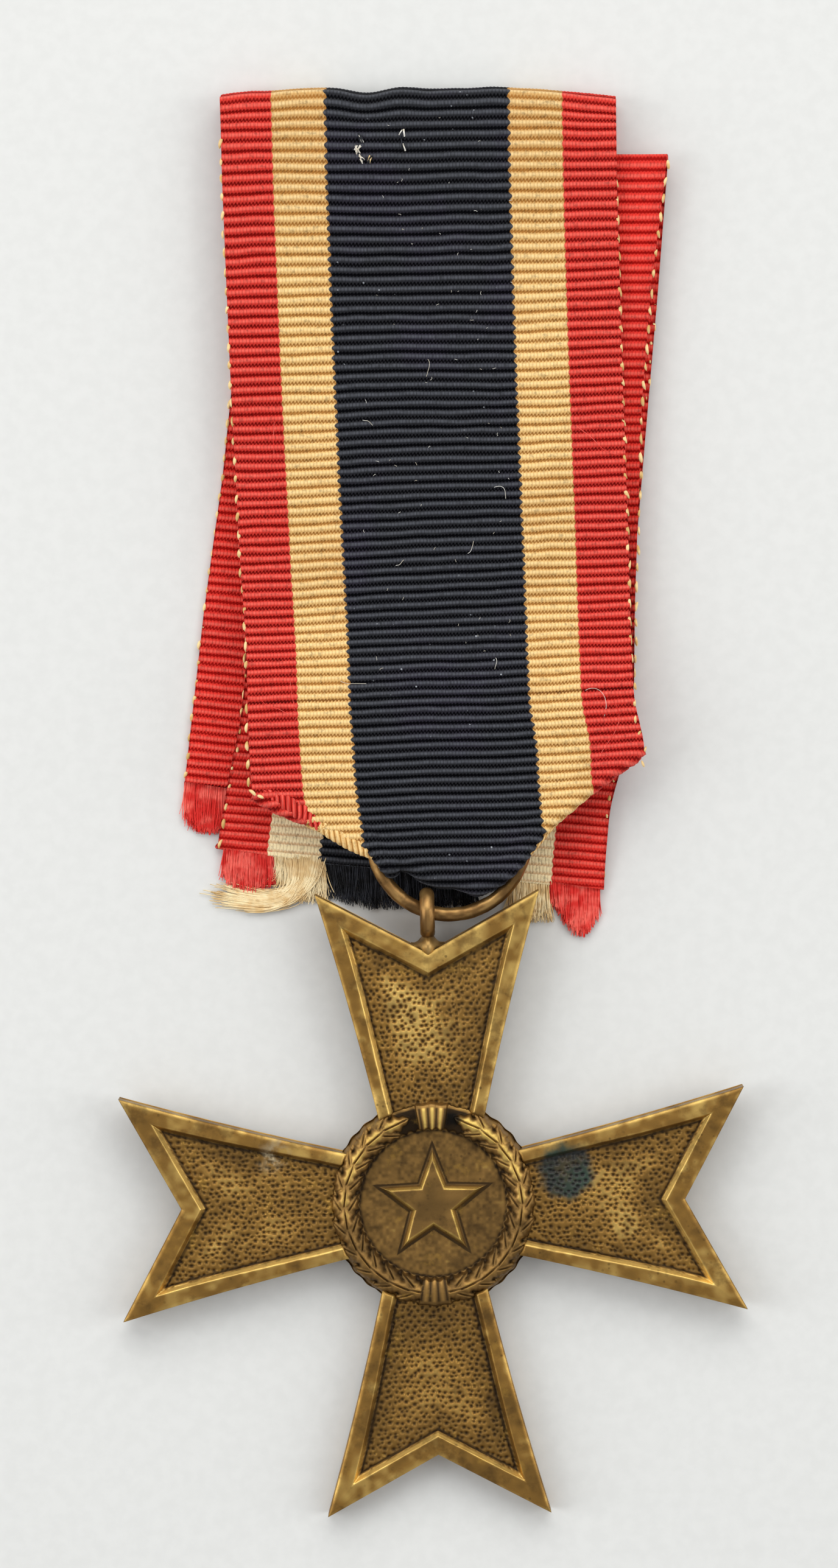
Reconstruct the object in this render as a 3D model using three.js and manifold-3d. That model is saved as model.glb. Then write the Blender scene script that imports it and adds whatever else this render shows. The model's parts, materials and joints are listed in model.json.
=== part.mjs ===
import * as THREE from 'three';
import { mergeVertices } from 'three/addons/utils/BufferGeometryUtils.js';
import Module from 'manifold-3d';

// Struck cross on a ribbon, lying face up. Millimetres, +Z up out of the face,
// +Y towards the top fold of the ribbon, origin under the middle of the whole.

// ---- driving dimensions ----
const CROSS_Y = -31.05;          // centre of the cross
const ARM_TIP = 24.15;           // centre to the line through an arm's two tips
const ARM_SPREAD = 8.65;         // half spread of the two tips
const NOTCH_R = 19.45;           // centre to the bottom of the end notch
const ROOT_R = 7.0;              // where an arm leaves the medallion
const ROOT_HALF = 4.15;          // half width there
const RIM_W = 1.55;              // flat raised border round each arm
const PLATE_T = 2.3;             // over the border
const FIELD_DEPTH = 0.55;        // border down to the pebbled field
const BACK_DEPTH = 0.35;         // reverse border down to its field
const WREATH_OUT = 7.9;
const WREATH_IN = 5.8;
const WREATH_TOP = 1.45;         // above the middle plane of the plate
const DISC_FLOOR = 0.25;         // floor of the centre disc, above the middle plane
const STAR_R = 4.5;
const STAR_T = 0.55;

const RING_X = 1.18, RING_Y = -2.75, RING_Z = 2.8;
const RING_R = 5.9;              // to the middle of the wire
const RING_WIRE = 0.53;          // wire radius
const EYE_X = -0.5, EYE_Y = -8.55;
const MEDAL_YAW = 1.2 * Math.PI / 180;   // the medal lies turned a little about the eye
const EYE_R = 1.45, EYE_WIRE = 0.57;

const RIBBON_T = 0.45;
const LAYER = 0.75;              // pitch of the ribbon's stacked layers
const Z_OUTER = RIBBON_T / 2;                 // outer tail, on the ground
const Z_INNER = Z_OUTER + LAYER;              // inner tail
const Z_BACK = Z_INNER + LAYER;               // back panel
const Z_FRONT = Z_BACK + LAYER;               // front panel
const Z_LOOP_FRONT = RING_Z + 1.075;          // front layer over the ring wire
const Z_LOOP_BACK = RING_Z - 1.075;           // back layer under it
const TOP_Y = 55.55;             // outside of the top fold
const REAR_FOLD_Y = 50.45;       // outside of the rear fold
const SPLIT_Y = 4.55;            // the line where the ribbon bends into its loop
const GAP = 0.3;
const ORIGIN_X = 0.0291, ORIGIN_Y = -0.0838;   // puts the origin under the middle of the whole
const LOOP_BOTTOM_Y = -5.9;      // lowest point of the loop inside the ring

// ---- solids ----
const wasm = await Module();
wasm.setup();

function solid(geometry) {
  const g = geometry.clone();
  for (const name of ['normal', 'uv']) if (g.attributes[name]) g.deleteAttribute(name);
  const m = mergeVertices(g, 1e-4);
  return new wasm.Manifold(new wasm.Mesh({
    numProp: 3,
    vertProperties: new Float32Array(m.attributes.position.array),
    triVerts: new Uint32Array(m.index.array),
  }));
}

function geometryOf(manifold) {
  const mesh = manifold.getMesh();
  const g = new THREE.BufferGeometry();
  g.setAttribute('position', new THREE.BufferAttribute(new Float32Array(mesh.vertProperties), 3));
  g.setIndex(new THREE.BufferAttribute(new Uint32Array(mesh.triVerts), 1));
  g.computeVertexNormals();
  return g;
}

function slab(shape, z0, z1, bevel = 0) {
  const g = new THREE.ExtrudeGeometry(shape, bevel
    ? { depth: z1 - z0 - bevel, bevelEnabled: true, bevelThickness: bevel, bevelSize: bevel, bevelOffset: -bevel, bevelSegments: 1, curveSegments: 24 }
    : { depth: z1 - z0, bevelEnabled: false, curveSegments: 24 });
  g.translate(0, 0, z0);
  return g;
}

const material = (color, roughness, metalness) =>
  new THREE.MeshStandardMaterial({ color, roughness, metalness });

const bronze = () => material(0x8a6a2c, 0.42, 0.9);
const root = new THREE.Group();
root.position.set(ORIGIN_X, ORIGIN_Y, 0);

function add(parent, name, geometry, mat) {
  const m = new THREE.Mesh(geometry, mat);
  m.name = name;
  parent.add(m);
  return m;
}

// ---- the struck cross ----
// Side of an arm: a line that flares a little more towards the tip.
const sideAt = (x) => {
  const f = (x - ROOT_R) / (ARM_TIP - ROOT_R);
  return ROOT_HALF + (ARM_SPREAD - ROOT_HALF) * (0.88 * f + 0.12 * f * f);
};

function turn(points, quarter) {
  const a = quarter * Math.PI / 2, c = Math.round(Math.cos(a)), s = Math.round(Math.sin(a));
  return points.map(([x, y]) => [c * x - s * y, s * x + c * y]);
}

const STEPS = 5;
function armOutline() {
  const lower = [], upper = [];
  for (let i = 0; i <= STEPS; i++) {
    const x = ROOT_R + (ARM_TIP - ROOT_R) * i / STEPS;
    lower.push([x, -sideAt(x)]);
    upper.unshift([x, sideAt(x)]);
  }
  return [[3.0, -3.0], ...lower, [NOTCH_R, 0], ...upper, [3.0, 3.0]];
}

const shapeOf = (pts) => new THREE.Shape(pts.map(([x, y]) => new THREE.Vector2(x, y)));

// Recess of an arm: the outline moved in by the border's width.
function fieldOutline(border) {
  const slope = (ARM_TIP - NOTCH_R) / ARM_SPREAD;
  const apex = NOTCH_R - border * Math.hypot(1, slope);
  const inner = (x) => sideAt(x) - border * 1.035;
  let x = ARM_TIP - 3;
  for (let i = 0; i < 30; i++) x = apex + inner(x) * slope;
  const lower = [], upper = [];
  for (let i = 0; i <= STEPS; i++) {
    const px = 4.5 + (x - 4.5) * i / STEPS;
    lower.push([px, -inner(px)]);
    upper.unshift([px, inner(px)]);
  }
  return [...lower, [apex, 0], ...upper];
}

const TOP = PLATE_T / 2, BOTTOM = -PLATE_T / 2;

function disc(r, z0, z1, n = 64) {
  const g = new THREE.CylinderGeometry(r, r, z1 - z0, n);
  g.rotateX(Math.PI / 2);
  g.translate(0, 0, (z0 + z1) / 2);
  return g;
}

let cross = solid(disc(WREATH_OUT - 0.25, BOTTOM, TOP - 0.1));
for (let q = 0; q < 4; q++) {
  cross = cross.add(solid(slab(shapeOf(turn(armOutline(), q)), BOTTOM, TOP)));
}
for (let q = 0; q < 4; q++) {
  const f = shapeOf(turn(fieldOutline(RIM_W), q));
  cross = cross.subtract(solid(slab(f, TOP - FIELD_DEPTH, TOP + 1)));
  cross = cross.subtract(solid(slab(shapeOf(turn(fieldOutline(RIM_W), q)), BOTTOM - 1, BOTTOM + BACK_DEPTH)));
}
// The medallion: a leafy ring round a sunken disc, and a plain disc on the reverse.
const wreathShape = new THREE.Shape();
const LEAVES = 26;
for (let i = 0; i <= LEAVES * 4; i++) {
  const a = i / (LEAVES * 4) * Math.PI * 2;
  const r = WREATH_OUT - 0.14 + 0.14 * Math.cos(a * LEAVES);
  if (i === 0) wreathShape.moveTo(r, 0);
  else if (i < LEAVES * 4) wreathShape.lineTo(r * Math.cos(a), r * Math.sin(a));
}
wreathShape.closePath();
cross = cross.add(solid(slab(wreathShape, BOTTOM + BACK_DEPTH, WREATH_TOP, 0.35)));
cross = cross.add(solid(disc(6.4, BOTTOM, 0)));
cross = cross.subtract(solid(disc(WREATH_IN, DISC_FLOOR, TOP + 1)));
const starPts = [];
for (let i = 0; i < 10; i++) {
  const a = Math.PI / 2 + i * Math.PI / 5, r = i % 2 ? STAR_R * 0.42 : STAR_R;
  starPts.push([r * Math.cos(a), r * Math.sin(a)]);
}
cross = cross.add(solid(slab(shapeOf(starPts), DISC_FLOOR - 0.2, DISC_FLOOR + STAR_T, 0.25)));

// The medal hangs from the eye: its frame turns about the eye's centre, so that
// the foot of the cross rests on the ground while the eye stays up on the ring.
const medal = new THREE.Group();
const dropLen = CROSS_Y - ARM_TIP - EYE_Y;
const lean = Math.asin((RING_Z - TOP) / -dropLen);
medal.position.set(EYE_X, EYE_Y, RING_Z);
medal.rotation.set(lean, 0, MEDAL_YAW, 'ZXY');
root.add(medal);
const crossMesh = add(medal, 'cross_planchet', geometryOf(cross), bronze());
crossMesh.position.set(0, CROSS_Y - EYE_Y, 0);

// ---- suspension eye: a wire loop standing edge-on in the top notch ----
function wireLoop(radius, wire, round, around) {
  const pts = [];
  for (let i = 0; i <= round; i++) {
    const a = (i % round) / round * Math.PI * 2;
    pts.push(new THREE.Vector2(radius + wire * Math.cos(a), wire * Math.sin(a)));
  }
  return new THREE.LatheGeometry(pts, around);
}
const eyeGeometry = wireLoop(EYE_R, EYE_WIRE, 12, 32);
eyeGeometry.rotateZ(Math.PI / 2);
add(medal, 'suspension_eye', eyeGeometry, bronze());

// Solder that holds the eye: a wedge in the notch, hollowed round the wire.
const notchY = CROSS_Y + NOTCH_R - EYE_Y;
const notchSlope = (ARM_TIP - NOTCH_R) / ARM_SPREAD;
const wedge = [[0, notchY + 0.2], [1.75, notchY + 0.2 + 1.75 * notchSlope], [1.2, notchY + 1.75], [-1.2, notchY + 1.75], [-1.75, notchY + 0.2 + 1.75 * notchSlope]];
const clear = new THREE.CylinderGeometry(EYE_R + EYE_WIRE + 0.25, EYE_R + EYE_WIRE + 0.25, 1.64, 40);
clear.rotateZ(Math.PI / 2);
let solder = solid(slab(shapeOf(wedge), -0.7, 0.7)).subtract(solid(clear));
add(medal, 'eye_solder', geometryOf(solder), material(0x7a5a26, 0.6, 0.8));

// ---- suspension ring ----
const ringGeometry = wireLoop(RING_R, RING_WIRE, 12, 56);
ringGeometry.rotateX(Math.PI / 2);
ringGeometry.translate(RING_X, RING_Y, RING_Z);
add(root, 'suspension_ring', ringGeometry, bronze());

// ---- ribbon ----
// A stretch of ribbon follows stations [y, z, left x, right x] along its middle.
function ribbon(stations, thickness, across) {
  const n = stations.length - 1;
  const g = new THREE.BoxGeometry(1, 1, 1, across, n, 1);
  const p = g.attributes.position;
  const normals = stations.map((_, i) => {
    const a = stations[Math.max(i - 1, 0)], b = stations[Math.min(i + 1, n)];
    const ty = b[0] - a[0], tz = b[1] - a[1], l = Math.hypot(ty, tz);
    return [-tz / l, ty / l];
  });
  for (let i = 0; i < p.count; i++) {
    const u = p.getX(i) + 0.5, k = Math.round((p.getY(i) + 0.5) * n), w = p.getZ(i) * thickness;
    const [y, z, l, r] = stations[k];
    p.setXYZ(i, l + (r - l) * u, y + normals[k][0] * w, z + normals[k][1] * w);
  }
  g.computeVertexNormals();
  return g;
}
const lerp = (a, b, f) => a + (b - a) * f;
const lerpTable = (table, y) => {
  for (let i = 1; i < table.length; i++) {
    const [y0, ...v0] = table[i - 1], [y1, ...v1] = table[i];
    if ((y - y0) * (y - y1) <= 0) return v0.map((v, k) => lerp(v, v1[k], (y - y0) / (y1 - y0)));
  }
  return y > table[0][0] ? table[0].slice(1) : table[table.length - 1].slice(1);
};

// Edges of each layer: [y, left x, right x], from the top down.
const FRONT_EDGES = [[TOP_Y, -16.56, 14.1], [34, -15.75, 14.6], [3.9, -14.25, 16.04]];
const BACK_EDGES = [[REAR_FOLD_Y, -12.2, 18.1], [39.9, -13.4, 16.84], [30.4, -14.1, 16.1], [SPLIT_Y, -14.35, 15.8]];
const INNER_EDGES = [[REAR_FOLD_Y, -12.1, 18.2], [40.4, -12.9, 17.4], [29.6, -13.8, 16.46], [19.5, -14.4, 15.6], [8.9, -14.7, 15.5], [0.9, -15.9, 13.6], [-7.7, -17.1, 13.2]];
const OUTER_EDGES = [[TOP_Y, -16.4, 14.0], [46, -15.9, 14.3], [34.2, -15.5, 14.6], [20, -17.0, 13.3], [1.4, -19.3, 10.9]];

const red = () => material(0xb8231f, 0.9, 0);
const black = () => material(0x1b2030, 0.9, 0);
const tan = () => material(0xc7a871, 0.9, 0);

function run(y0, y1, z0, z1, edges, steps) {
  const out = [];
  for (let i = 0; i <= steps; i++) {
    const f = i / steps, y = lerp(y0, y1, f);
    const e = lerpTable(edges, y);
    out.push([y, typeof z0 === 'function' ? z0(y) : lerp(z0, z1, f), e[0], e[1]]);
  }
  return out;
}

const topR = (Z_FRONT - Z_OUTER) / 2, topC = TOP_Y - RIBBON_T / 2 - topR;
const rearR = (Z_BACK - Z_INNER) / 2, rearC = REAR_FOLD_Y - RIBBON_T / 2 - rearR;

// Front panel: flat for most of its length, then it climbs over the ring wire.
const climb = (y) => {
  const f = Math.min(Math.max((16 - y) / 10.2, 0), 1);
  return Z_FRONT + (Z_LOOP_FRONT - Z_FRONT) * f * f * (3 - 2 * f);
};
add(root, 'ribbon_front_panel', ribbon(run(SPLIT_Y + 0.95, topC - GAP, climb, 0, FRONT_EDGES, 20), RIBBON_T, 1), black());

function fold(yc, zc, r, edgesA, edgesB, start, steps, tail) {
  const out = [];
  for (let i = 0; i <= steps; i++) {
    const a = start - i / steps * Math.PI;
    const y = yc + r * Math.cos(a), z = zc + r * Math.sin(a);
    const f = i / steps, eA = lerpTable(edgesA, y), eB = lerpTable(edgesB, y);
    out.push([y, z, lerp(eA[0], eB[0], f), lerp(eA[1], eB[1], f)]);
  }
  if (tail) {
    const a = out[0], b = out[out.length - 1];
    out.unshift([yc - tail, a[1], a[2], a[3]]);
    out.push([yc - tail, b[1], b[2], b[3]]);
  }
  return out;
}
add(root, 'ribbon_top_fold', ribbon(fold(topC, (Z_FRONT + Z_OUTER) / 2, topR, FRONT_EDGES, OUTER_EDGES, Math.PI / 2, 12, 0), RIBBON_T, 1), black());
add(root, 'ribbon_outer_tail', ribbon(run(topC - GAP, 1.4, Z_OUTER, Z_OUTER, OUTER_EDGES, 6), RIBBON_T, 1), red());
add(root, 'ribbon_rear_fold', ribbon(fold(rearC, (Z_BACK + Z_INNER) / 2, rearR, BACK_EDGES, INNER_EDGES, Math.PI / 2, 8, 0), RIBBON_T, 1), red());
add(root, 'ribbon_back_panel', ribbon(run(SPLIT_Y + 0.65, rearC - GAP, Z_BACK, Z_BACK, BACK_EDGES, 5), RIBBON_T, 1), red());

// Inner tail: its woven end runs down a little towards the right.
const droop = (y) => {
  const f = Math.min(Math.max((-1 - y) / 5.3, 0), 1);
  return Z_INNER - 0.575 * f * f * (3 - 2 * f);
};
const innerRun = [...run(rearC - GAP, -1, Z_INNER, Z_INNER, INNER_EDGES, 8), ...run(-2, -5.0, droop, 0, INNER_EDGES, 3)];
const innerTail = ribbon(innerRun, RIBBON_T, 4);
const WOVEN_LEFT = -3.75, WOVEN_RIGHT = -6.3;
const wovenEnd = (x) => lerp(WOVEN_LEFT, WOVEN_RIGHT, (x + 17) / 30);
{
  const p = innerTail.attributes.position;
  for (let i = 0; i < p.count; i++) {
    const f = Math.min(Math.max((p.getY(i) + 2) / -3, 0), 1);
    if (f > 0) p.setY(i, lerp(-2, wovenEnd(p.getX(i)), f));
  }
}
add(root, 'ribbon_inner_tail', innerTail, red());

// Loop: the back layer runs down, turns up through the ring and comes back
// over the wire as the front layer, gathering to the width of the ring's hole.
const LOOP_EDGES = [[3.9, -14.2, 15.95], [1.7, -13.3, 13.6], [-0.6, -9.8, 10.6], [-2.6, -5.6, 8.1], [-3.7, -4.7, 6.9], [-4.6, -3.1, 5.9], [-5.3, -1.7, 5.2], [LOOP_BOTTOM_Y, -0.7, 4.5]];
const loopR = (Z_LOOP_FRONT - Z_LOOP_BACK) / 2, loopC = LOOP_BOTTOM_Y + RIBBON_T / 2 + loopR;
const loopRun = [];
const loopYs = [3.9, 2.8, 1.7, 0.5, -0.6, -1.6, -2.6, -3.7];
for (const y of loopYs) loopRun.push([y, Z_LOOP_BACK, ...lerpTable(LOOP_EDGES, y)]);
for (let i = 0; i <= 12; i++) {
  const a = -Math.PI / 2 - i / 12 * Math.PI;
  const y = loopC + loopR * Math.cos(a), z = RING_Z + loopR * Math.sin(a);
  loopRun.push([y, z, ...lerpTable(LOOP_EDGES, y - RIBBON_T / 2)]);
}
for (const y of loopYs.slice().reverse()) loopRun.push([y, Z_LOOP_FRONT, ...lerpTable(LOOP_EDGES, y)]);
add(root, 'ribbon_loop', ribbon(loopRun, RIBBON_T, 2), black());

// Frayed warp ends below the two woven ends.
function fringe(x0, x1, teeth, top, reach, z) {
  const pts = [[x0, top(x0)]];
  const w = (x1 - x0) / teeth;
  for (let i = 0; i < teeth; i++) {
    const a = x0 + i * w, m = a + w / 2;
    const d = top(m) - reach(m);
    pts.push([a + w * 0.12, reach(m) + d * 0.3], [m, reach(m)], [a + w * 0.88, reach(m) + d * 0.3], [a + w, top(a + w) - d * 0.35]);
  }
  pts.pop();
  pts.push([x1, top(x1)]);
  return slab(shapeOf(pts), z - 0.12, z + 0.12);
}
add(root, 'outer_tail_fringe', fringe(-19.1, 10.7, 20, () => 1.4 - GAP, (x) => -2.1 + 0.5 * Math.sin(x * 2.1), Z_OUTER), red());
add(root, 'inner_tail_fringe', fringe(-16.8, 13.0, 20, (x) => wovenEnd(x) - GAP, (x) => (Math.abs(x) < 11 ? Math.max(wovenEnd(x) - 2.2, -7.05) : wovenEnd(x) - 2.2), 0.42), tan());

// Remnants of the sewing thread that once held a pin, on the front panel.
function thread(points, r) {
  const curve = new THREE.CatmullRomCurve3(points.map(([x, y, z]) => new THREE.Vector3(x, y, z)));
  const section = new THREE.Shape();
  for (let i = 0; i < 8; i++) {
    const a = i / 8 * Math.PI * 2;
    if (i === 0) section.moveTo(r, 0); else section.lineTo(r * Math.cos(a), r * Math.sin(a));
  }
  section.closePath();
  return new THREE.ExtrudeGeometry(section, { steps: 12, bevelEnabled: false, extrudePath: curve });
}
const THREAD_Z = Z_FRONT + RIBBON_T / 2 + 0.45;
add(root, 'stitch_thread_left', thread([[-5.8, 51.6, THREAD_Z], [-6.1, 50.9, THREAD_Z + 0.15], [-5.7, 50.2, THREAD_Z], [-5.9, 49.6, THREAD_Z + 0.1], [-5.1, 49.3, THREAD_Z]], 0.14), tan());
add(root, 'stitch_thread_right', thread([[-2.5, 51.9, THREAD_Z], [-2.2, 51.4, THREAD_Z + 0.15], [-2.3, 50.8, THREAD_Z + 0.05], [-2.35, 50.4, THREAD_Z]], 0.14), tan());

export default root;
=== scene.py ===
import bpy, json, math
import numpy as np
from mathutils import Vector, Matrix


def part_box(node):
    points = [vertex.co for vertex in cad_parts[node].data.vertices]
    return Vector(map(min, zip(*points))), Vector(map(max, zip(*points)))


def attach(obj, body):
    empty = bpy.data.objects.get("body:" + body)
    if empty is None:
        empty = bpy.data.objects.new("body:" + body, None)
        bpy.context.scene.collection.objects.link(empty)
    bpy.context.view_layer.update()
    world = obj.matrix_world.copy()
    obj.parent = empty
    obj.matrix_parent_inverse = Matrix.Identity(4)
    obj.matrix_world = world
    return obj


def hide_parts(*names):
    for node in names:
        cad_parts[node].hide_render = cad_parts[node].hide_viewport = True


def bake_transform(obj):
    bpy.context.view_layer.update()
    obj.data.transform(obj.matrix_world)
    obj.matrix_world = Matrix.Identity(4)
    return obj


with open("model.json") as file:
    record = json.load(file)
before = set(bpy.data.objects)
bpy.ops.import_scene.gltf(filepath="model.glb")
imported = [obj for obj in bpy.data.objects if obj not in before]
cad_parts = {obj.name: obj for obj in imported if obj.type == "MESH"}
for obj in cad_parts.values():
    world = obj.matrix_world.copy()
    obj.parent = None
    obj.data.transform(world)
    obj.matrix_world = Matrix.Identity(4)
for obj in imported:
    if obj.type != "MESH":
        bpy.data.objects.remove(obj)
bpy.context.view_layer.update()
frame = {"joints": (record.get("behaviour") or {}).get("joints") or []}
MM = 0.001
rng = np.random.default_rng(20431)

# The CAD model's frame, in millimetres. OX and OY carry the working drawing's
# coordinates into it, and are read off the ring's own centre.
lo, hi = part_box("suspension_ring")
RING = np.array([(lo[i] + hi[i]) / 2 / MM for i in range(3)])
RING_OUT = (hi[0] - lo[0]) / 2 / MM
RING_WIRE = (hi[2] - lo[2]) / 2 / MM
OX, OY = RING[0] - 1.18, RING[1] + 2.75
joints = {j["name"]: j for j in frame["joints"]}
EYE = np.array(joints["medal_tilt"]["pos_m"]) / MM
elo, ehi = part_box("suspension_eye")
EYE_OUT = (ehi[2] - elo[2]) / 2 / MM
EYE_WIRE = 0.57

# ------------------------------------------------------------------ camera, light
scene = bpy.context.scene
scene.view_settings.view_transform = "Standard"
scene.view_settings.look = "None"

FRAME_H = 121.51 * MM
cam = bpy.data.cameras.new("camera")
cam_o = bpy.data.objects.new("camera", cam)
scene.collection.objects.link(cam_o)
CAM_H = 0.36
cam.sensor_fit = "VERTICAL"
cam.sensor_height = 36
cam.lens = 36 * (CAM_H - 0.002) / FRAME_H
cam.clip_start = 0.01
cam.clip_end = 10
cam_o.location = ((-24 / 21.2 + OX) * MM, (30.5 / 21.2 + OY) * MM, CAM_H)
cam_o.rotation_euler = (0, 0, 0)
scene.camera = cam_o


def area_light(name, loc, target, size, size_y, energy, color=(1, 1, 1)):
    l = bpy.data.lights.new(name, "AREA")
    l.shape = "RECTANGLE"
    l.size, l.size_y = size, size_y
    l.energy = energy
    l.color = color
    o = bpy.data.objects.new(name, l)
    scene.collection.objects.link(o)
    o.location = loc
    d = Vector(target) - Vector(loc)
    o.rotation_euler = d.to_track_quat("-Z", "Y").to_euler()
    return o


area_light("key_light", (0.0, 0.56, 0.50), (0, -0.02, 0), 1.1, 0.5, 4.3, (1.0, 0.99, 0.97))
area_light("left_light", (-0.5, 0.0, 0.30), (0, 0, 0), 0.3, 0.5, 1.45, (0.97, 0.985, 1.0))
area_light("right_light", (0.5, 0.0, 0.30), (0, 0, 0), 0.3, 0.5, 1.15, (0.99, 1.0, 0.99))
world = bpy.data.worlds.new("studio")
scene.world = world
world.use_nodes = True
world.node_tree.nodes["Background"].inputs[0].default_value = (0.97, 0.98, 1.0, 1)
world.node_tree.nodes["Background"].inputs[1].default_value = 0.50


# ------------------------------------------------------------------ node helpers
def lin(c):
    return tuple(((v / 255) / 12.92 if v / 255 <= 0.04045 else ((v / 255 + 0.055) / 1.055) ** 2.4) for v in c)


class Tree:
    def __init__(self, name):
        self.mat = bpy.data.materials.new(name)
        self.mat.use_nodes = True
        self.t = self.mat.node_tree
        self.t.nodes.clear()
        self.out = self.t.nodes.new("ShaderNodeOutputMaterial")
        self.b = self.t.nodes.new("ShaderNodeBsdfPrincipled")
        self.t.links.new(self.b.outputs[0], self.out.inputs[0])

    def put(self, sock, v):
        if v is None:
            return
        if hasattr(v, "is_output") or isinstance(v, bpy.types.NodeSocket):
            self.t.links.new(v, sock)
        else:
            if hasattr(sock, "default_value"):
                try:
                    sock.default_value = v
                except (TypeError, ValueError):
                    sock.default_value = tuple(v) + (1.0,) if len(v) == 3 else v

    def set(self, **k):
        for n, v in k.items():
            self.put(self.b.inputs[n.replace("_", " ")], v)

    def math(self, op, a, b=None, c=None, clamp=False):
        n = self.t.nodes.new("ShaderNodeMath")
        n.operation = op
        n.use_clamp = clamp
        self.put(n.inputs[0], a)
        self.put(n.inputs[1], b)
        self.put(n.inputs[2], c)
        return n.outputs[0]

    def vmath(self, op, a, b=None, scale=None):
        n = self.t.nodes.new("ShaderNodeVectorMath")
        n.operation = op
        self.put(n.inputs[0], a)
        self.put(n.inputs[1], b)
        if scale is not None:
            n.inputs["Scale"].default_value = scale
        return n.outputs[1] if op in ("DISTANCE", "LENGTH", "DOT_PRODUCT") else n.outputs[0]

    def mix(self, f, a, b, mode="MIX"):
        n = self.t.nodes.new("ShaderNodeMix")
        n.data_type = "RGBA"
        n.blend_type = mode
        self.put(n.inputs[0], f)
        for s, v in ((n.inputs[6], a), (n.inputs[7], b)):
            if isinstance(v, (tuple, list)) and len(v) == 3:
                v = tuple(v) + (1.0,)
            self.put(s, v)
        return n.outputs[2]

    def range(self, v, a, b, c=0.0, d=1.0, smooth=True):
        n = self.t.nodes.new("ShaderNodeMapRange")
        n.interpolation_type = "SMOOTHSTEP" if smooth else "LINEAR"
        self.put(n.inputs[0], v)
        for i, x in enumerate((a, b, c, d)):
            n.inputs[i + 1].default_value = x
        return n.outputs[0]

    def noise(self, scale, detail=3, rough=0.55, vec=None, w=None):
        n = self.t.nodes.new("ShaderNodeTexNoise")
        n.inputs["Scale"].default_value = scale
        n.inputs["Detail"].default_value = detail
        n.inputs["Roughness"].default_value = rough
        if vec is not None:
            self.put(n.inputs["Vector"], vec)
        return n.outputs[0]

    def voronoi(self, scale, vec=None, feature="F1", out=0, rand=1.0):
        n = self.t.nodes.new("ShaderNodeTexVoronoi")
        n.feature = feature
        n.inputs["Scale"].default_value = scale
        n.inputs["Randomness"].default_value = rand
        if vec is not None:
            self.put(n.inputs["Vector"], vec)
        return n.outputs[out]

    def coord(self, which="Object"):
        n = self.t.nodes.new("ShaderNodeTexCoord")
        return n.outputs[which]

    def uv(self, name="fab"):
        n = self.t.nodes.new("ShaderNodeUVMap")
        n.uv_map = name
        return n.outputs[0]

    def attr(self, name, out=2):
        n = self.t.nodes.new("ShaderNodeAttribute")
        n.attribute_name = name
        return n.outputs[out]

    def split(self, v):
        n = self.t.nodes.new("ShaderNodeSeparateXYZ")
        self.put(n.inputs[0], v)
        return n.outputs

    def join(self, x, y, z=0.0):
        n = self.t.nodes.new("ShaderNodeCombineXYZ")
        self.put(n.inputs[0], x)
        self.put(n.inputs[1], y)
        self.put(n.inputs[2], z)
        return n.outputs[0]

    def bump(self, h, strength=0.4, distance=0.0001, normal=None):
        n = self.t.nodes.new("ShaderNodeBump")
        n.inputs["Strength"].default_value = strength
        n.inputs["Distance"].default_value = distance
        self.put(n.inputs["Height"], h)
        if normal is not None:
            self.put(n.inputs["Normal"], normal)
        return n.outputs[0]


# ------------------------------------------------------------------ mesh helpers
def make_mesh(name, verts, quads=None, polys=None, uv=None, attrs=None, mat=None, smooth=True):
    """verts in millimetres; quads an (n, 4) array; polys a list of longer faces. uv and attrs are per vertex."""
    me = bpy.data.meshes.new(name)
    v = np.asarray(verts, float) * MM
    polys = polys or []
    quads = np.zeros((0, 4), int) if quads is None else np.asarray(quads, int)
    loops = np.concatenate([quads.ravel()] + [np.asarray(p, int) for p in polys]) if polys else quads.ravel()
    sizes = np.concatenate([np.full(len(quads), 4)] + [[len(p)] for p in polys]).astype(int) if polys else np.full(len(quads), 4)
    starts = np.concatenate([[0], np.cumsum(sizes)[:-1]])
    me.vertices.add(len(v))
    me.vertices.foreach_set("co", v.astype(np.float32).ravel())
    me.loops.add(len(loops))
    me.loops.foreach_set("vertex_index", loops.astype(np.int32))
    me.polygons.add(len(sizes))
    me.polygons.foreach_set("loop_start", starts.astype(np.int32))
    me.polygons.foreach_set("use_smooth", np.full(len(sizes), smooth))
    if uv is not None:
        layer = me.uv_layers.new(name="fab")
        layer.data.foreach_set("uv", np.asarray(uv, np.float32)[loops].ravel())
    for k, a in (attrs or {}).items():
        at = me.attributes.new(k, "FLOAT", "POINT")
        at.data.foreach_set("value", np.asarray(a, np.float32))
    me.update(calc_edges=True)
    me.validate()
    if mat:
        me.materials.append(mat)
    o = bpy.data.objects.new(name, me)
    scene.collection.objects.link(o)
    return o


def grid_quads(rows, cols, base=0, flip=False, wrap_cols=False, wrap_rows=False):
    r = np.arange(rows if wrap_rows else rows - 1)
    c = np.arange(cols if wrap_cols else cols - 1)
    R, C = np.meshgrid(r, c, indexing="ij")
    a = R * cols + C
    b = R * cols + (C + 1) % cols
    d = ((R + 1) % rows) * cols + C
    e = ((R + 1) % rows) * cols + (C + 1) % cols
    q = np.stack([a, b, e, d], -1).reshape(-1, 4) + base
    return q[:, ::-1] if flip else q


def smooth(x, a, b):
    t = np.clip((np.asarray(x, float) - a) / (b - a), 0, 1)
    return t * t * (3 - 2 * t)


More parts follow.
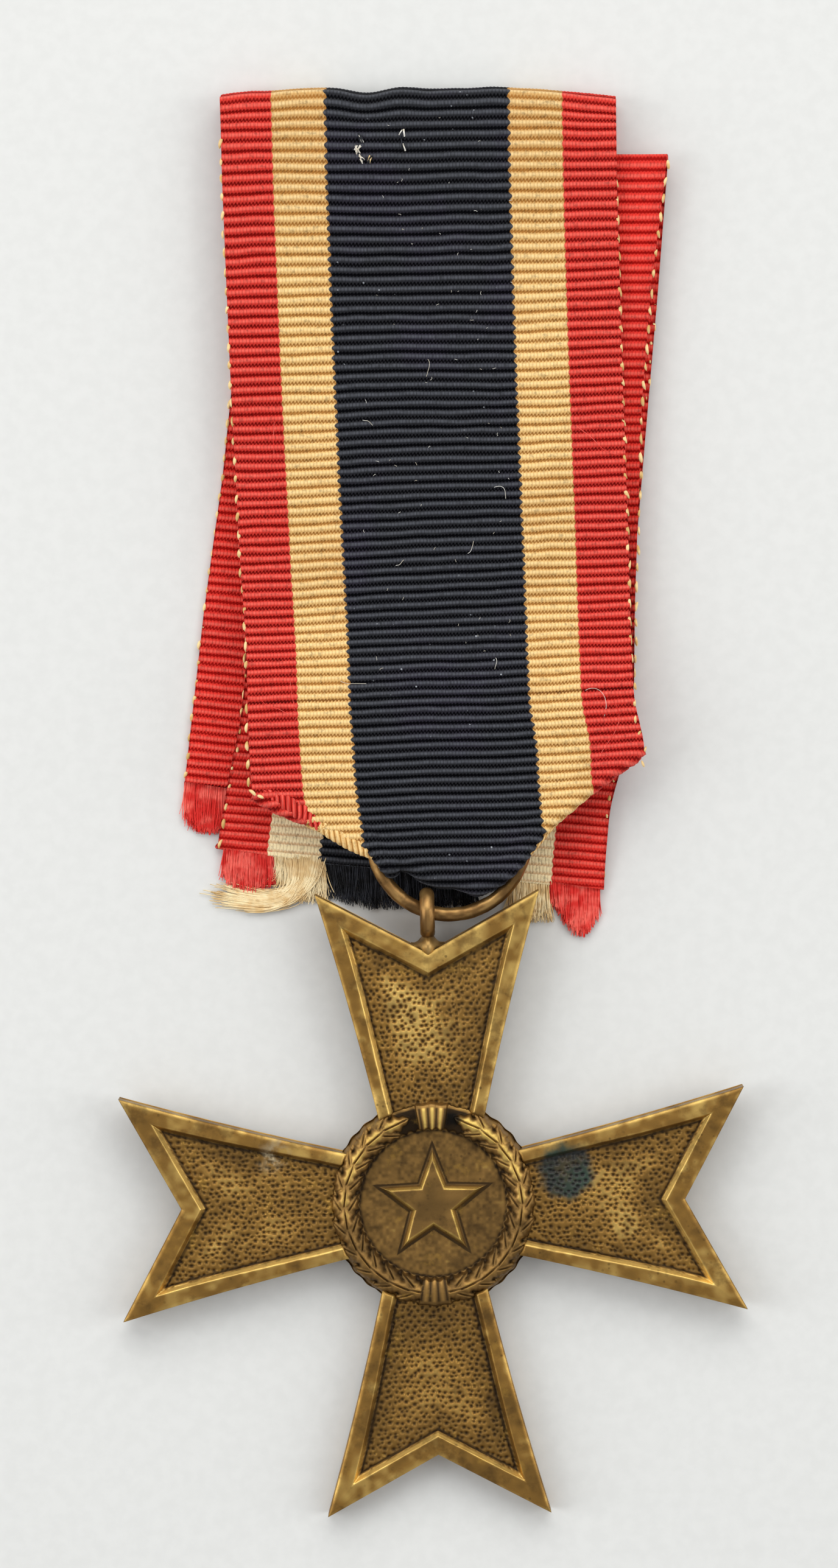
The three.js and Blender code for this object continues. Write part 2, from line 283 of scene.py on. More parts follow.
def table(tab, y):
    """Smoothed interpolation of rows [y, v...] listed from high y to low."""
    tab = np.asarray(tab, float)[::-1]
    y = np.asarray(y, float)
    out = []
    for k in range(1, tab.shape[1]):
        fine = np.interp(y, tab[:, 0], tab[:, k])
        near = np.mean([np.interp(y + d, tab[:, 0], tab[:, k]) for d in (-1.4, -0.7, 0, 0.7, 1.4)], 0)
        out.append(near * 0.7 + fine * 0.3)
    return out


def value_noise(seed, x, y, cell):
    """Smooth random field, about -1 to 1."""
    g = np.random.default_rng(seed).uniform(-1, 1, (64, 64))
    u, v = np.asarray(x) / cell + 17.3, np.asarray(y) / cell + 29.1
    i, j = np.floor(u).astype(int), np.floor(v).astype(int)
    fu, fv = u - i, v - j
    fu, fv = fu * fu * (3 - 2 * fu), fv * fv * (3 - 2 * fv)
    a, b = g[i % 64, j % 64], g[(i + 1) % 64, j % 64]
    c, d = g[i % 64, (j + 1) % 64], g[(i + 1) % 64, (j + 1) % 64]
    return (a * (1 - fu) + b * fu) * (1 - fv) + (c * (1 - fu) + d * fu) * fv


def normals_of(P):
    du = np.gradient(P, axis=1)
    dv = np.gradient(P, axis=0)
    n = np.cross(du, dv)
    n /= np.linalg.norm(n, axis=2, keepdims=True) + 1e-12
    return n


COLS = 225            # two columns to a warp thread


def shell(name, P, phi, mat, thickness=0.24, rib=0.19, out=1.0, cstep=4, thread=0.03, fade=None, rib_back=None):
    """A ribbed ribbon as one closed mesh. P is a (rows, cols, 3) middle surface in mm, and phi its rows' rib phases.
    The outer side carries the ribs and every thread; the inner side carries the ribs, with fewer columns."""
    R, C, _ = P.shape
    N = normals_of(P) * out
    col = np.arange(C)
    frac = phi - np.round(phi)
    crest = np.sqrt(np.clip(np.cos(np.pi * frac), 0, 1))
    n = np.round(phi).astype(int)
    a_mm = np.linspace(0, 30.3, C)
    tw = 224 / (C - 1)
    th = np.cos(np.pi * (col[None, :] * tw + (n[:, None] % 2)))
    lane = np.random.default_rng(R + 7).uniform(-1, 1, (int(n.max()) + 2,))
    amp = 1 + 0.08 * value_noise(5, a_mm[None, :], phi[:, None] * 0.7, 2.2) + 0.05 * lane[n][:, None] + 0.05 * value_noise(8, a_mm[None, :], n[:, None] * 3.3 + 0 * col[None, :], 0.5)
    h = rib * crest[:, None] * amp + thread * (th - 1) * 0.5 * (0.4 + 0.6 * crest[:, None])
    hb = (rib if rib_back is None else rib_back) * crest[:, None] * (1 + 0.1 * value_noise(9, a_mm[None, :], phi[:, None], 3.0))
    if fade is not None:
        h, hb = h * fade, hb * fade
    ds = np.gradient(P, axis=0)
    ds /= np.linalg.norm(ds, axis=2, keepdims=True) + 1e-12
    groove = np.abs(np.abs(frac) - 0.5) < 1e-3
    tooth = np.where(groove, 1.0, 0.0)[:, None] * th * 0.085
    wander = 0.028 * value_noise(12, a_mm[None, :], n[:, None] * 5.1 + 0 * col[None, :], 1.3)
    front = P + N * (thickness / 2 + h)[..., None] + ds * (tooth + wander)[..., None]
    kc = np.array(sorted(set(list(range(0, C, cstep)) + [C - 1])))
    backP = (P - N * (thickness / 2 + hb)[..., None])[:, kc]
    verts = np.concatenate([front.reshape(-1, 3), backP.reshape(-1, 3)])
    base, cb = R * C, len(kc)
    flip = out < 0
    quads = [grid_quads(R, C, 0, flip=flip), grid_quads(R, cb, base, flip=not flip)]
    fid = np.arange(R * C).reshape(R, C)
    bid = base + np.arange(R * cb).reshape(R, cb)

    def strip(f, b, rev):
        q = np.stack([f[:-1], f[1:], b[1:], b[:-1]], -1)
        return q[:, ::-1] if rev else q

    quads += [strip(fid[:, 0], bid[:, 0], not flip), strip(fid[:, -1], bid[:, -1], flip)]
    polys = []
    for row, rev in ((0, flip), (R - 1, not flip)):
        for i in range(cb - 1):
            p = list(fid[row, kc[i]:kc[i + 1] + 1]) + [bid[row, i + 1], bid[row, i]]
            polys.append(p if rev else p[::-1])
    u = np.broadcast_to((a_mm / 30.3)[None, :], (R, C))
    v = np.broadcast_to(phi[:, None] / 100, (R, C))
    uvf = np.stack([u, v], -1)
    uv = np.concatenate([uvf.reshape(-1, 2), uvf[:, kc].reshape(-1, 2)])
    return make_mesh(name, verts, np.concatenate(quads), polys, uv=uv, mat=mat)


def tubes(name, lines, radii, mat, sides=5, attrs=None, caps=True, squash_z=1.0):
    """Round tubes along polylines, joined in one mesh. lines: (n, 3) arrays in mm; radii: number or array each."""
    V, Q, PG, A = [], [], [], []
    base = 0
    for k, (L, r) in enumerate(zip(lines, radii)):
        L = np.asarray(L, float)
        r = np.broadcast_to(np.asarray(r, float), (len(L),))
        t = np.gradient(L, axis=0)
        t /= np.linalg.norm(t, axis=1, keepdims=True) + 1e-12
        up = np.array([0, 0, 1.0]) if abs(t[0, 2]) < 0.9 else np.array([1.0, 0, 0])
        s = np.cross(t, up)
        s /= np.linalg.norm(s, axis=1, keepdims=True) + 1e-12
        w = np.cross(s, t)
        ang = np.linspace(0, 2 * np.pi, sides, endpoint=False)
        ring = L[:, None, :] + r[:, None, None] * (np.cos(ang)[None, :, None] * s[:, None, :] + squash_z * np.sin(ang)[None, :, None] * w[:, None, :])
        V.append(ring.reshape(-1, 3))
        Q.append(grid_quads(len(L), sides, base, wrap_cols=True))
        if caps:
            PG.append(list(range(base, base + sides)))
            PG.append(list(range(base + (len(L) - 1) * sides, base + len(L) * sides))[::-1])
        if attrs is not None:
            A.append(np.full(len(L) * sides, attrs[k], float))
        base += len(L) * sides
    return make_mesh(name, np.concatenate(V), np.concatenate(Q), PG, mat=mat, attrs={"hue": np.concatenate(A)} if attrs is not None else None)


# ------------------------------------------------------------------ cloth materials
# The _DARK colours are painted shade in the grooves between ribs, with some staining; they also darken the lines
# between warp threads.
RED, RED_DARK = lin((212, 50, 38)), lin((112, 4, 4))
CREAM, CREAM_DARK = lin((236, 192, 122)), lin((160, 104, 42))
BLACK, BLACK_DARK = lin((29, 30, 35)), lin((2, 2, 4))


def grosgrain(name, cream=CREAM, cream_dark=CREAM_DARK, red=RED, red_dark=RED_DARK, soil=0.5, specks=True):
    t = Tree(name)
    u, v, _ = t.split(t.uv())
    phi = t.math("MULTIPLY", v, 100.0)
    fr = t.math("SUBTRACT", phi, t.math("ROUND", phi))
    thz = t.math("COSINE", t.math("MULTIPLY", t.math("ADD", t.math("MULTIPLY", u, 112.0), t.math("MULTIPLY", t.math("MODULO", t.math("ABSOLUTE", t.math("ROUND", phi)), 2.0), 0.5)), 6.2832))
    # Painted shade with some staining: the groove between ribs is mixed towards the dark colours below, and its
    # specular level is lowered too.
    groove = t.range(t.math("ADD", t.math("ABSOLUTE", fr), t.math("MULTIPLY", thz, -0.055)), 0.27, 0.44)
    # Painted highlight: a pale band along the upper side of each rib's crest, where the light from the top catches it.
    crest_highlight = t.range(t.math("ABSOLUTE", t.math("ADD", fr, 0.04)), 0.04, 0.26, 1.0, 0.0)
    par = t.math("MODULO", t.math("ABSOLUTE", t.math("ROUND", phi)), 2.0)
    obj = t.coord("Object")
    wob = t.math("MULTIPLY", t.math("SUBTRACT", t.noise(900, 2, vec=obj), 0.5), 0.006)
    shift = t.math("ADD", t.math("MULTIPLY", t.math("COSINE", t.math("MULTIPLY", phi, 6.2832)), 0.0042), wob)
    d = t.math("ABSOLUTE", t.math("SUBTRACT", u, 0.4965))        # 0 in the middle, .5 at the edge
    is_black = t.range(t.math("SUBTRACT", d, shift), 0.2313, 0.2333, 1.0, 0.0, smooth=False)
    is_red = t.range(t.math("ADD", d, t.math("MULTIPLY", shift, 0.4)), 0.3665, 0.3685, 0.0, 1.0, smooth=False)
    th = t.math("ADD", t.math("MULTIPLY", u, 112.0), t.math("MULTIPLY", par, 0.5))
    thc = t.math("ABSOLUTE", t.math("SUBTRACT", t.math("FRACT", th), 0.5))
    line = t.range(thc, 0.25, 0.5)
    big = t.noise(140, 4, 0.6, vec=obj)
    fine = t.noise(2600, 3, 0.7, vec=obj)
    streak = t.noise(1.0, 3, 0.7, vec=t.join(t.math("MULTIPLY", u, 330.0), t.math("MULTIPLY", phi, 0.35)))
    y = t.split(obj)[1]
    top = t.range(y, 0.034, 0.056)
    soiled = t.math("MULTIPLY", t.math("MAXIMUM", t.math("MULTIPLY", t.range(big, 0.46, 0.74), 0.55), t.math("MULTIPLY", top, 0.75)), soil, clamp=True)
    # The painted highlight is broken into threads by the streak noise, then mixed below into red, cream and black as a
    # paler highlight colour.
    painted_highlight = t.math("MULTIPLY", crest_highlight, t.range(streak, 0.3, 0.7, 0.35, 1.0, smooth=False))
    cr = t.mix(soiled, cream, lin((186, 138, 78)))
    cr = t.mix(t.math("MULTIPLY", painted_highlight, 0.6), cr, lin((255, 232, 176)))
    cr = t.mix(t.math("MULTIPLY", groove, 0.86), cr, cream_dark)
    cr = t.mix(t.math("MULTIPLY", line, 0.3), cr, cream_dark)
    rd = t.mix(t.math("MULTIPLY", t.range(big, 0.4, 0.75), 0.35), red, lin((186, 40, 34)))
    rd = t.mix(t.math("MULTIPLY", painted_highlight, 0.62), rd, lin((252, 124, 108)))
    rd = t.mix(t.math("MULTIPLY", groove, 0.9), rd, red_dark)
    rd = t.mix(t.math("MULTIPLY", line, 0.32), rd, red_dark)
    bk = t.mix(t.math("MULTIPLY", t.range(big, 0.48, 0.7), 0.6), BLACK, lin((38, 31, 48)))
    bk = t.mix(t.math("MULTIPLY", painted_highlight, 0.55), bk, lin((104, 107, 115)))
    bk = t.mix(t.math("MULTIPLY", groove, 0.93), bk, BLACK_DARK)
    bk = t.mix(t.math("MULTIPLY", line, 0.4), bk, BLACK_DARK)
    if specks:
        m = t.math("MULTIPLY", t.range(t.voronoi(900, vec=obj), 0.04, 0.085, 1.0, 0.0), t.range(t.noise(90, 2, vec=obj), 0.5, 0.6))
        bk = t.mix(t.math("MULTIPLY", m, 0.8), bk, lin((176, 180, 186)))
    col = t.mix(is_black, cr, bk)
    col = t.mix(is_red, col, rd)
    dark = t.mix(0.35, col, (0, 0, 0))
    col = t.mix(t.range(fine, 0.3, 0.5, 1.0, 0.0), col, dark)
    hgt = t.math("ADD", t.math("MULTIPLY", line, -0.6), t.math("MULTIPLY", fine, 0.7))
    t.set(Base_Color=col, Roughness=0.82, Normal=t.bump(hgt, 0.55, 0.00008))
    t.put(t.b.inputs["Specular IOR Level"], t.math("MULTIPLY_ADD", t.math("SUBTRACT", 1.0, groove), 0.22, 0.02))
    t.b.inputs["Sheen Weight"].default_value = 0.03
    t.b.inputs["Sheen Roughness"].default_value = 0.5
    return t.mat


def fibre_material(name):
    """hue 0 red, 1 cream, 2 black, 3 white, 4 the selvedge's old gold."""
    t = Tree(name)
    h = t.attr("hue")
    obj = t.coord("Object")
    n = t.noise(900, 2, vec=obj)
    red = t.mix(t.range(n, 0.35, 0.65), lin((226, 44, 36)), lin((252, 112, 98)))
    cream = t.mix(t.range(n, 0.35, 0.65), lin((232, 200, 144)), lin((253, 234, 190)))
    black = t.mix(t.range(n, 0.35, 0.65), lin((12, 12, 16)), lin((44, 46, 54)))
    white = t.mix(t.range(n, 0.35, 0.65), lin((206, 196, 176)), lin((240, 238, 230)))
    c = t.mix(t.range(h, 0.4, 0.6, smooth=False), red, cream)
    c = t.mix(t.range(h, 1.4, 1.6, smooth=False), c, black)
    c = t.mix(t.range(h, 2.4, 2.6, smooth=False), c, white)
    c = t.mix(t.range(h, 3.4, 3.5, smooth=False), c, t.mix(t.range(n, 0.35, 0.65), lin((206, 164, 96)), lin((242, 212, 152))))
    t.set(Base_Color=c, Roughness=0.7)
    t.b.inputs["Specular IOR Level"].default_value = 0.35
    return t.mat


CLOTH = grosgrain("grosgrain", soil=0.85)
# A lit copy of the grosgrain for the layers beneath the front panel: brighter cream and red and lighter groove colours,
# painted light that offsets the shadow the front layers cast on them.
CLOTH_BACK_LIT = grosgrain("grosgrain_back_lit", cream=lin((255, 236, 190)), cream_dark=lin((222, 182, 134)), red=lin((232, 50, 38)), red_dark=lin((140, 6, 6)), soil=0.1)
FIBRE = fibre_material("fibres")

# ------------------------------------------------------------------ ribbon shapes
TOP_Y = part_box("ribbon_top_fold")[1][1] / MM - OY
REAR_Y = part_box("ribbon_rear_fold")[1][1] / MM - OY
FRONT_EDGES = [[60, -16.7, 14.0], [TOP_Y, -16.56, 14.1], [48, -16.35, 14.15], [34, -15.75, 14.55], [20, -15.0, 15.05], [12, -14.45, 15.25], [7, -14.3, 15.45], [4.1, -14.2, 16.25], [2.8, -14.1, 16.2], [0.9, -13.95, 16.3], [-2.2, -13.4, 16.6], [-9, -13.0, 17.0]]
BACK_EDGES = [[60, -12.2, 18.15], [50.45, -12.2, 18.15], [39.9, -13.4, 16.84], [30.4, -14.1, 16.1], [15, -14.3, 15.6], [4.55, -14.35, 15.5], [-9, -14.35, 15.5]]
INNER_EDGES = [[60, -12.1, 18.2], [50.4, -12.1, 18.25], [40.4, -12.9, 17.4], [29.6, -13.8, 16.46], [19.5, -14.4, 15.6], [8.9, -14.6, 15.5], [5, -15.0, 14.9], [0.9, -15.9, 13.7], [-3.9, -16.7, 13.3], [-7.7, -17.1, 13.2], [-12, -17.2, 13.1]]
OUTER_EDGES = [[60, -16.4, 14.0], [46, -15.9, 14.3], [34.2, -15.5, 14.6], [25, -16.4, 13.8], [14, -17.9, 12.4], [1.4, -19.3, 10.9], [-4, -19.9, 10.3]]
Z_OUTER, Z_INNER, Z_BACK, Z_FRONT = 0.27, 0.975, 1.725, 2.475
Z_LF, Z_LB = RING[2] + 1.075, RING[2] - 1.075
SEAM_Y = 8.2          # where the front panel's cloth meets the loop's
PITCH = [[60, 0.84], [50, 0.825], [42, 0.78], [34, 0.745], [26, 0.71], [16, 0.695], [4, 0.68], [-12, 0.675]]


def pitch_at(y):
    return np.interp(y, [r[0] for r in PITCH[::-1]], [r[1] for r in PITCH[::-1]])


def climb(y):
    f = np.clip((16 - np.asarray(y, float)) / 10.2, 0, 1)
    return Z_FRONT + (Z_LF - Z_FRONT) * f * f * (3 - 2 * f)


def path_rows(pts, per=4):
    """pts: (y, z) middle line in mm. Rows at quarter ribs, with whole ribs from end to end."""
    pts = np.asarray(pts, float)
    seg = np.r_[0, np.cumsum(np.hypot(np.diff(pts[:, 0]), np.diff(pts[:, 1])))]
    s = np.linspace(0, seg[-1], 4000)
    yy, zz = np.interp(s, seg, pts[:, 0]), np.interp(s, seg, pts[:, 1])
    n = np.r_[0, np.cumsum(np.diff(s) / pitch_at(yy[1:]))]
    N = max(1, round(n[-1]))
    rows = np.interp(np.arange(N * per + 1) / per * n[-1] / N, n, s)
    return np.interp(rows, seg, pts[:, 0]), np.interp(rows, seg, pts[:, 1]), np.arange(N * per + 1) / per + 0.5, rows


def arc(yc, zc, r, a0, a1, n=24):
    a = np.linspace(a0, a1, n)
    return np.stack([yc + r * np.cos(a), zc + r * np.sin(a)], -1)


def front_sheet(X, Y, Z):
    """The front layer's unevenness, the same for the panel and the loop."""
    slope = np.interp(Y, [8, 20, 40, 55], [0.045, 0.038, 0.022, 0.0])
    Y = Y + 0.14 * value_noise(11, X, Y, 9.0) + 0.05 * value_noise(12, X, Y, 2.5) + slope * (X - 0.5)
    Z = Z + 0.09 * value_noise(13, X, Y, 8.0) + 0.05 * value_noise(14, X, Y, 3.0)
    return Y, Z


def across(y, z, edges, cols=COLS):
    L, Rr = edges
    u = np.linspace(0, 1, cols)
    X = L[:, None] + (Rr - L)[:, None] * u[None, :]
    return X, np.repeat(y[:, None], cols, 1), np.repeat(z[:, None], cols, 1), np.broadcast_to(u[None, :], X.shape)


# Front panel: from behind the top fold, over it, and down to the loop.
topR = (Z_FRONT - Z_OUTER) / 2
topC = TOP_Y - 0.28 - topR
line = [(52.2, Z_OUTER + 0.03), (topC, Z_OUTER)]
line += [tuple(p) for p in arc(topC, (Z_FRONT + Z_OUTER) / 2, topR, -math.pi / 2, math.pi / 2)[1:-1]]
line += [(topC, Z_FRONT)] + [(yy, float(climb(yy))) for yy in np.linspace(50, SEAM_Y, 60)]
y, z, phi, s = path_rows(line)
fL, fR = table(FRONT_EDGES, y)
oL, oR = table(OUTER_EDGES, y)
side = smooth(z, Z_OUTER + 0.3, Z_FRONT - 0.3)
X, Y, Z, U = across(y, z, (oL + (fL - oL) * side, oR + (fR - oR) * side))
Yn, Zn = front_sheet(X, Y, Z)
Y, Z = Y + (Yn - Y) * side[:, None], Z + (Zn - Z) * side[:, None]
cr = smooth(Y, 51.5, 55.0)
Y = Y - cr * (0.62 * np.abs(2 * U - 1) ** 3.2 + 0.3 * np.exp(-((U - 0.36) / 0.07) ** 2) + 0.1 * value_noise(71, U * 30, U * 0, 2.4))
Z = Z - 0.22 * smooth(Y, 50, 55.3) * (side[:, None] > 0.5)
front = shell("ribbon_front", np.stack([X, Y, Z], -1), phi, CLOTH, out=-1.0)
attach(front, "ribbon")
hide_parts("ribbon_front_panel", "ribbon_top_fold")

def L_MID(X):
    """The middle of each row."""
    return (X[:, :1] + X[:, -1:]) / 2


# Outer tail: the layer nearest the floor, up to where it meets the top fold.
y, z, phi, s = path_rows([(0.75, Z_OUTER), (52.4, Z_OUTER)])
oL, oR = table(OUTER_EDGES, y)
X, Y, Z, U = across(y, z, (oL, oR))
Y = Y + 0.12 * value_noise(31, X, Y, 9.0) - np.interp(Y, [1, 20, 34, 40], [0.115, 0.1, 0.05, 0.0]) * (np.minimum(X, -12.0) + 12.0)
Z = Z + 0.03 * value_noise(32, X, Y, 7.0)
outer = shell("ribbon_outer", np.stack([X, Y, Z], -1), phi, CLOTH_BACK_LIT, thickness=0.22, rib=0.115, rib_back=0.09, out=1.0)
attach(outer, "ribbon")
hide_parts("ribbon_outer_tail")

# Back panel, rear fold and inner tail: one strip.
rr = 0.36
rc = REAR_Y - 0.26 - rr
line = [(SEAM_Y, Z_BACK), (rc, Z_BACK)] + [tuple(p) for p in arc(rc, (Z_BACK + Z_INNER) / 2, (Z_BACK - Z_INNER) / 2, math.pi / 2, -math.pi / 2, 14)[1:-1]]
line += [(rc, Z_INNER), (-1.0, Z_INNER)] + [(yy, float(Z_INNER - 0.575 * smooth(-yy, 1.0, 6.3))) for yy in np.linspace(-1.3, -6.6, 16)]
y, z, phi, s = path_rows(line)
down = smooth(-z, -(Z_BACK - 0.25), -(Z_INNER + 0.25))
bL, bR = table(BACK_EDGES, y)
iL, iR = table(INNER_EDGES, y)
X, Y, Z, U = across(y, z, (bL + (iL - bL) * down, bR + (iR - bR) * down), 113)
end = np.interp(X, [-17, -12, -8, 8, 13], [-4.6, -5.0, -5.2, -5.3, -5.3])
Y = np.where(down[:, None] > 0.5, np.maximum(Y, end - 0.02 * (end - Y)), Y)
tilt = np.where(down[:, None] > 0.5, np.interp(Y, [-4, 20, 40, 49], [0.085, 0.08, 0.06, 0.0]), np.interp(Y, [8.2, 14, 40, 49], [0.045, 0.02, 0.0, 0.0]) * -1)
Y = Y + 0.12 * value_noise(41, X, Y, 9.0) - tilt * (X - L_MID(X))
Z = Z + 0.05 * value_noise(42, X, Y, 7.0)
back = shell("ribbon_back", np.stack([X, Y, Z], -1), phi, CLOTH_BACK_LIT, thickness=0.22, rib=0.11, out=-1.0, cstep=4)
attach(back, "ribbon")
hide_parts("ribbon_back_panel", "ribbon_rear_fold", "ribbon_inner_tail")

# ------------------------------------------------------------------ the loop
OUTLINE = [[-15.5, 1.9], [-14.4, 1.3], [-13.5, 0.7], [-11.9, -0.3], [-9.5, -1.35], [-7.64, -2.2], [-5.28, -3.25], [-4.58, -3.96], [-3.63, -5.26], [-2.2, -6.3], [-0.57, -6.75], [1.79, -7.5], [4.15, -7.05], [5.57, -6.1], [6.75, -5.0], [7.45, -3.96], [8.87, -2.2], [12.2, 0.28], [13.8, 1.46], [15.8, 2.7], [16.3, 3.5], [17.5, 4.3]]
oxs, oys = np.array(OUTLINE).T


RC = RING[:2] - np.array([OX, OY])


def y_out(x):
    near = np.mean([np.interp(x + d, oxs, oys) for d in (-0.5, -0.25, 0, 0.25, 0.5)], 0)
    # the edge is pushed up where the medal's eye stands in the ring
    dx = x - RC[0]
    clear = RC[1] - np.sqrt(np.maximum(3.76 ** 2 - dx * dx, 0.01))
    w = smooth(dx, -4.6, -2.6) * (1 - smooth(dx, 0.1, 2.4))
    return near + w * np.maximum(clear - near, 0)


us = np.linspace(0, 1, COLS)
ys = np.linspace(SEAM_Y, -9, 1200)
fL, fR = table(FRONT_EDGES, ys)
paths = []
yo = np.zeros(COLS)
xo = np.zeros(COLS)
for j, u in enumerate(us):
    xx = fL + (fR - fL) * u
    k = int(np.argmax(ys < y_out(xx)))
    yo[j], xo[j] = ys[k], xx[k]
dist = np.hypot(xo - RC[0], yo - RC[1])
central = smooth(-dist, -5.5, -5.15) * (np.abs(xo - RC[0]) < 5.5)
inside = np.nonzero(central > 0.5)[0]
jl, jr = inside[0], inside[-1]
al = math.atan2(yo[jl] - RC[1], xo[jl] - RC[0]) % (2 * math.pi)
ar = math.atan2(yo[jr] - RC[1], xo[jr] - RC[0]) % (2 * math.pi)
for j, u in enumerate(us):
    c = central[j]
    r = 0.27 + 0.805 * c
    wire = math.exp(-((dist[j] - 5.9) / 0.8) ** 2)
    zf = lambda yy: climb(yy) + (0.16 + 0.1 * wire) * (1 - c) * smooth(-(yy - yo[j]), -2.4, -0.6)
    fy = np.linspace(SEAM_Y, yo[j] + r, 90)
    fx = np.interp(-fy, -ys, fL + (fR - fL) * u)
    Yn, Zn = front_sheet(fx, fy, zf(fy))
    pts = [np.stack([fx, Yn, Zn], -1)]
    a = np.linspace(0, math.pi, 16)[1:]
    rx = np.full(len(a), fx[-1])
    pts.append(np.stack([rx, Yn[-1] - r * np.sin(a), Zn[-1] - r + r * np.cos(a)], -1))
    p_end = pts[-1][-1]
    if j < jl:
        f = (jl - j) / jl
        ang = al + (math.radians(152) - al) * f
    elif j > jr:
        f = (j - jr) / (COLS - 1 - jr)
        ang = ar + (math.radians(360 + 28) - ar) * f
    else:
        ang, f = 0, 0
    H = np.array([RC[0] + 4.75 * math.cos(ang), RC[1] + 4.75 * math.sin(ang)]) if (j < jl or j > jr) else p_end[:2]
    H = H * (1 - c) + p_end[:2] * c
    zu = p_end[2]
    t = np.linspace(0, 1, 24)[1:]
    run = np.stack([p_end[0] + (H[0] - p_end[0]) * t, p_end[1] + (H[1] - p_end[1]) * t, zu + 0 * t], -1)
    run[:, 2] = zu + (Z_LB - zu) * smooth(t, 0.86, 1.0)
    pts.append(run)
    bL, bR = table(BACK_EDGES, np.array([SEAM_Y]))
    xb = bL[0] + (bR[0] - bL[0]) * u
    t = np.linspace(0, 1, 60)[1:]
    by = H[1] + (SEAM_Y - H[1]) * t
    bx = H[0] + (xb - H[0]) * (t * t * (3 - 2 * t) * 0.6 + 0.4 * t)
    pleat = 0.1 * np.sin(u * 58) * (1 - t) * (1 - c) ** 0.5
    pts.append(np.stack([bx, by + 0.0 * t, Z_LB + pleat], -1))
    L = np.concatenate(pts)
    seg = np.r_[0, np.cumsum(np.linalg.norm(np.diff(L, axis=0), axis=1))]
    paths.append((seg, L))
front_part = SEAM_Y - yo.min() + 1.2
n_front = math.ceil(front_part / 0.68)
total = np.array([p[0][-1] for p in paths])
n_rest = round((total.mean() - n_front * 0.68) / 0.7)
rows = np.arange(n_front * 4 + 1) * 0.68 / 4
P = np.zeros((n_front * 4 + 1 + n_rest * 4, COLS, 3))
for j, (seg, L) in enumerate(paths):
    rest = rows[-1] + (total[j] - rows[-1]) * np.arange(1, n_rest * 4 + 1) / (n_rest * 4)
    sj = np.r_[rows, rest]
    for a in range(3):
        P[:, j, a] = np.interp(sj, seg, L[:, a])
phi = np.arange(len(P)) / 4 + 0.5
loop = shell("ribbon_loop_cloth", P, phi, CLOTH, out=-1.0)
P_LOOP = P


def shift(o):
    """Drawing coordinates into the CAD frame."""
    co = np.zeros(len(o.data.vertices) * 3, np.float32)
    o.data.vertices.foreach_get("co", co)
    co = co.reshape(-1, 3) + np.array([OX * MM, OY * MM, 0], np.float32)
    o.data.vertices.foreach_set("co", co.ravel())
    o.data.update()
    return o


for o in (front, outer, back, loop):
    shift(o)
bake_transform(loop)
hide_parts("ribbon_loop")
for o in (front, outer, back, loop):
    print(o.name, len(o.data.polygons))

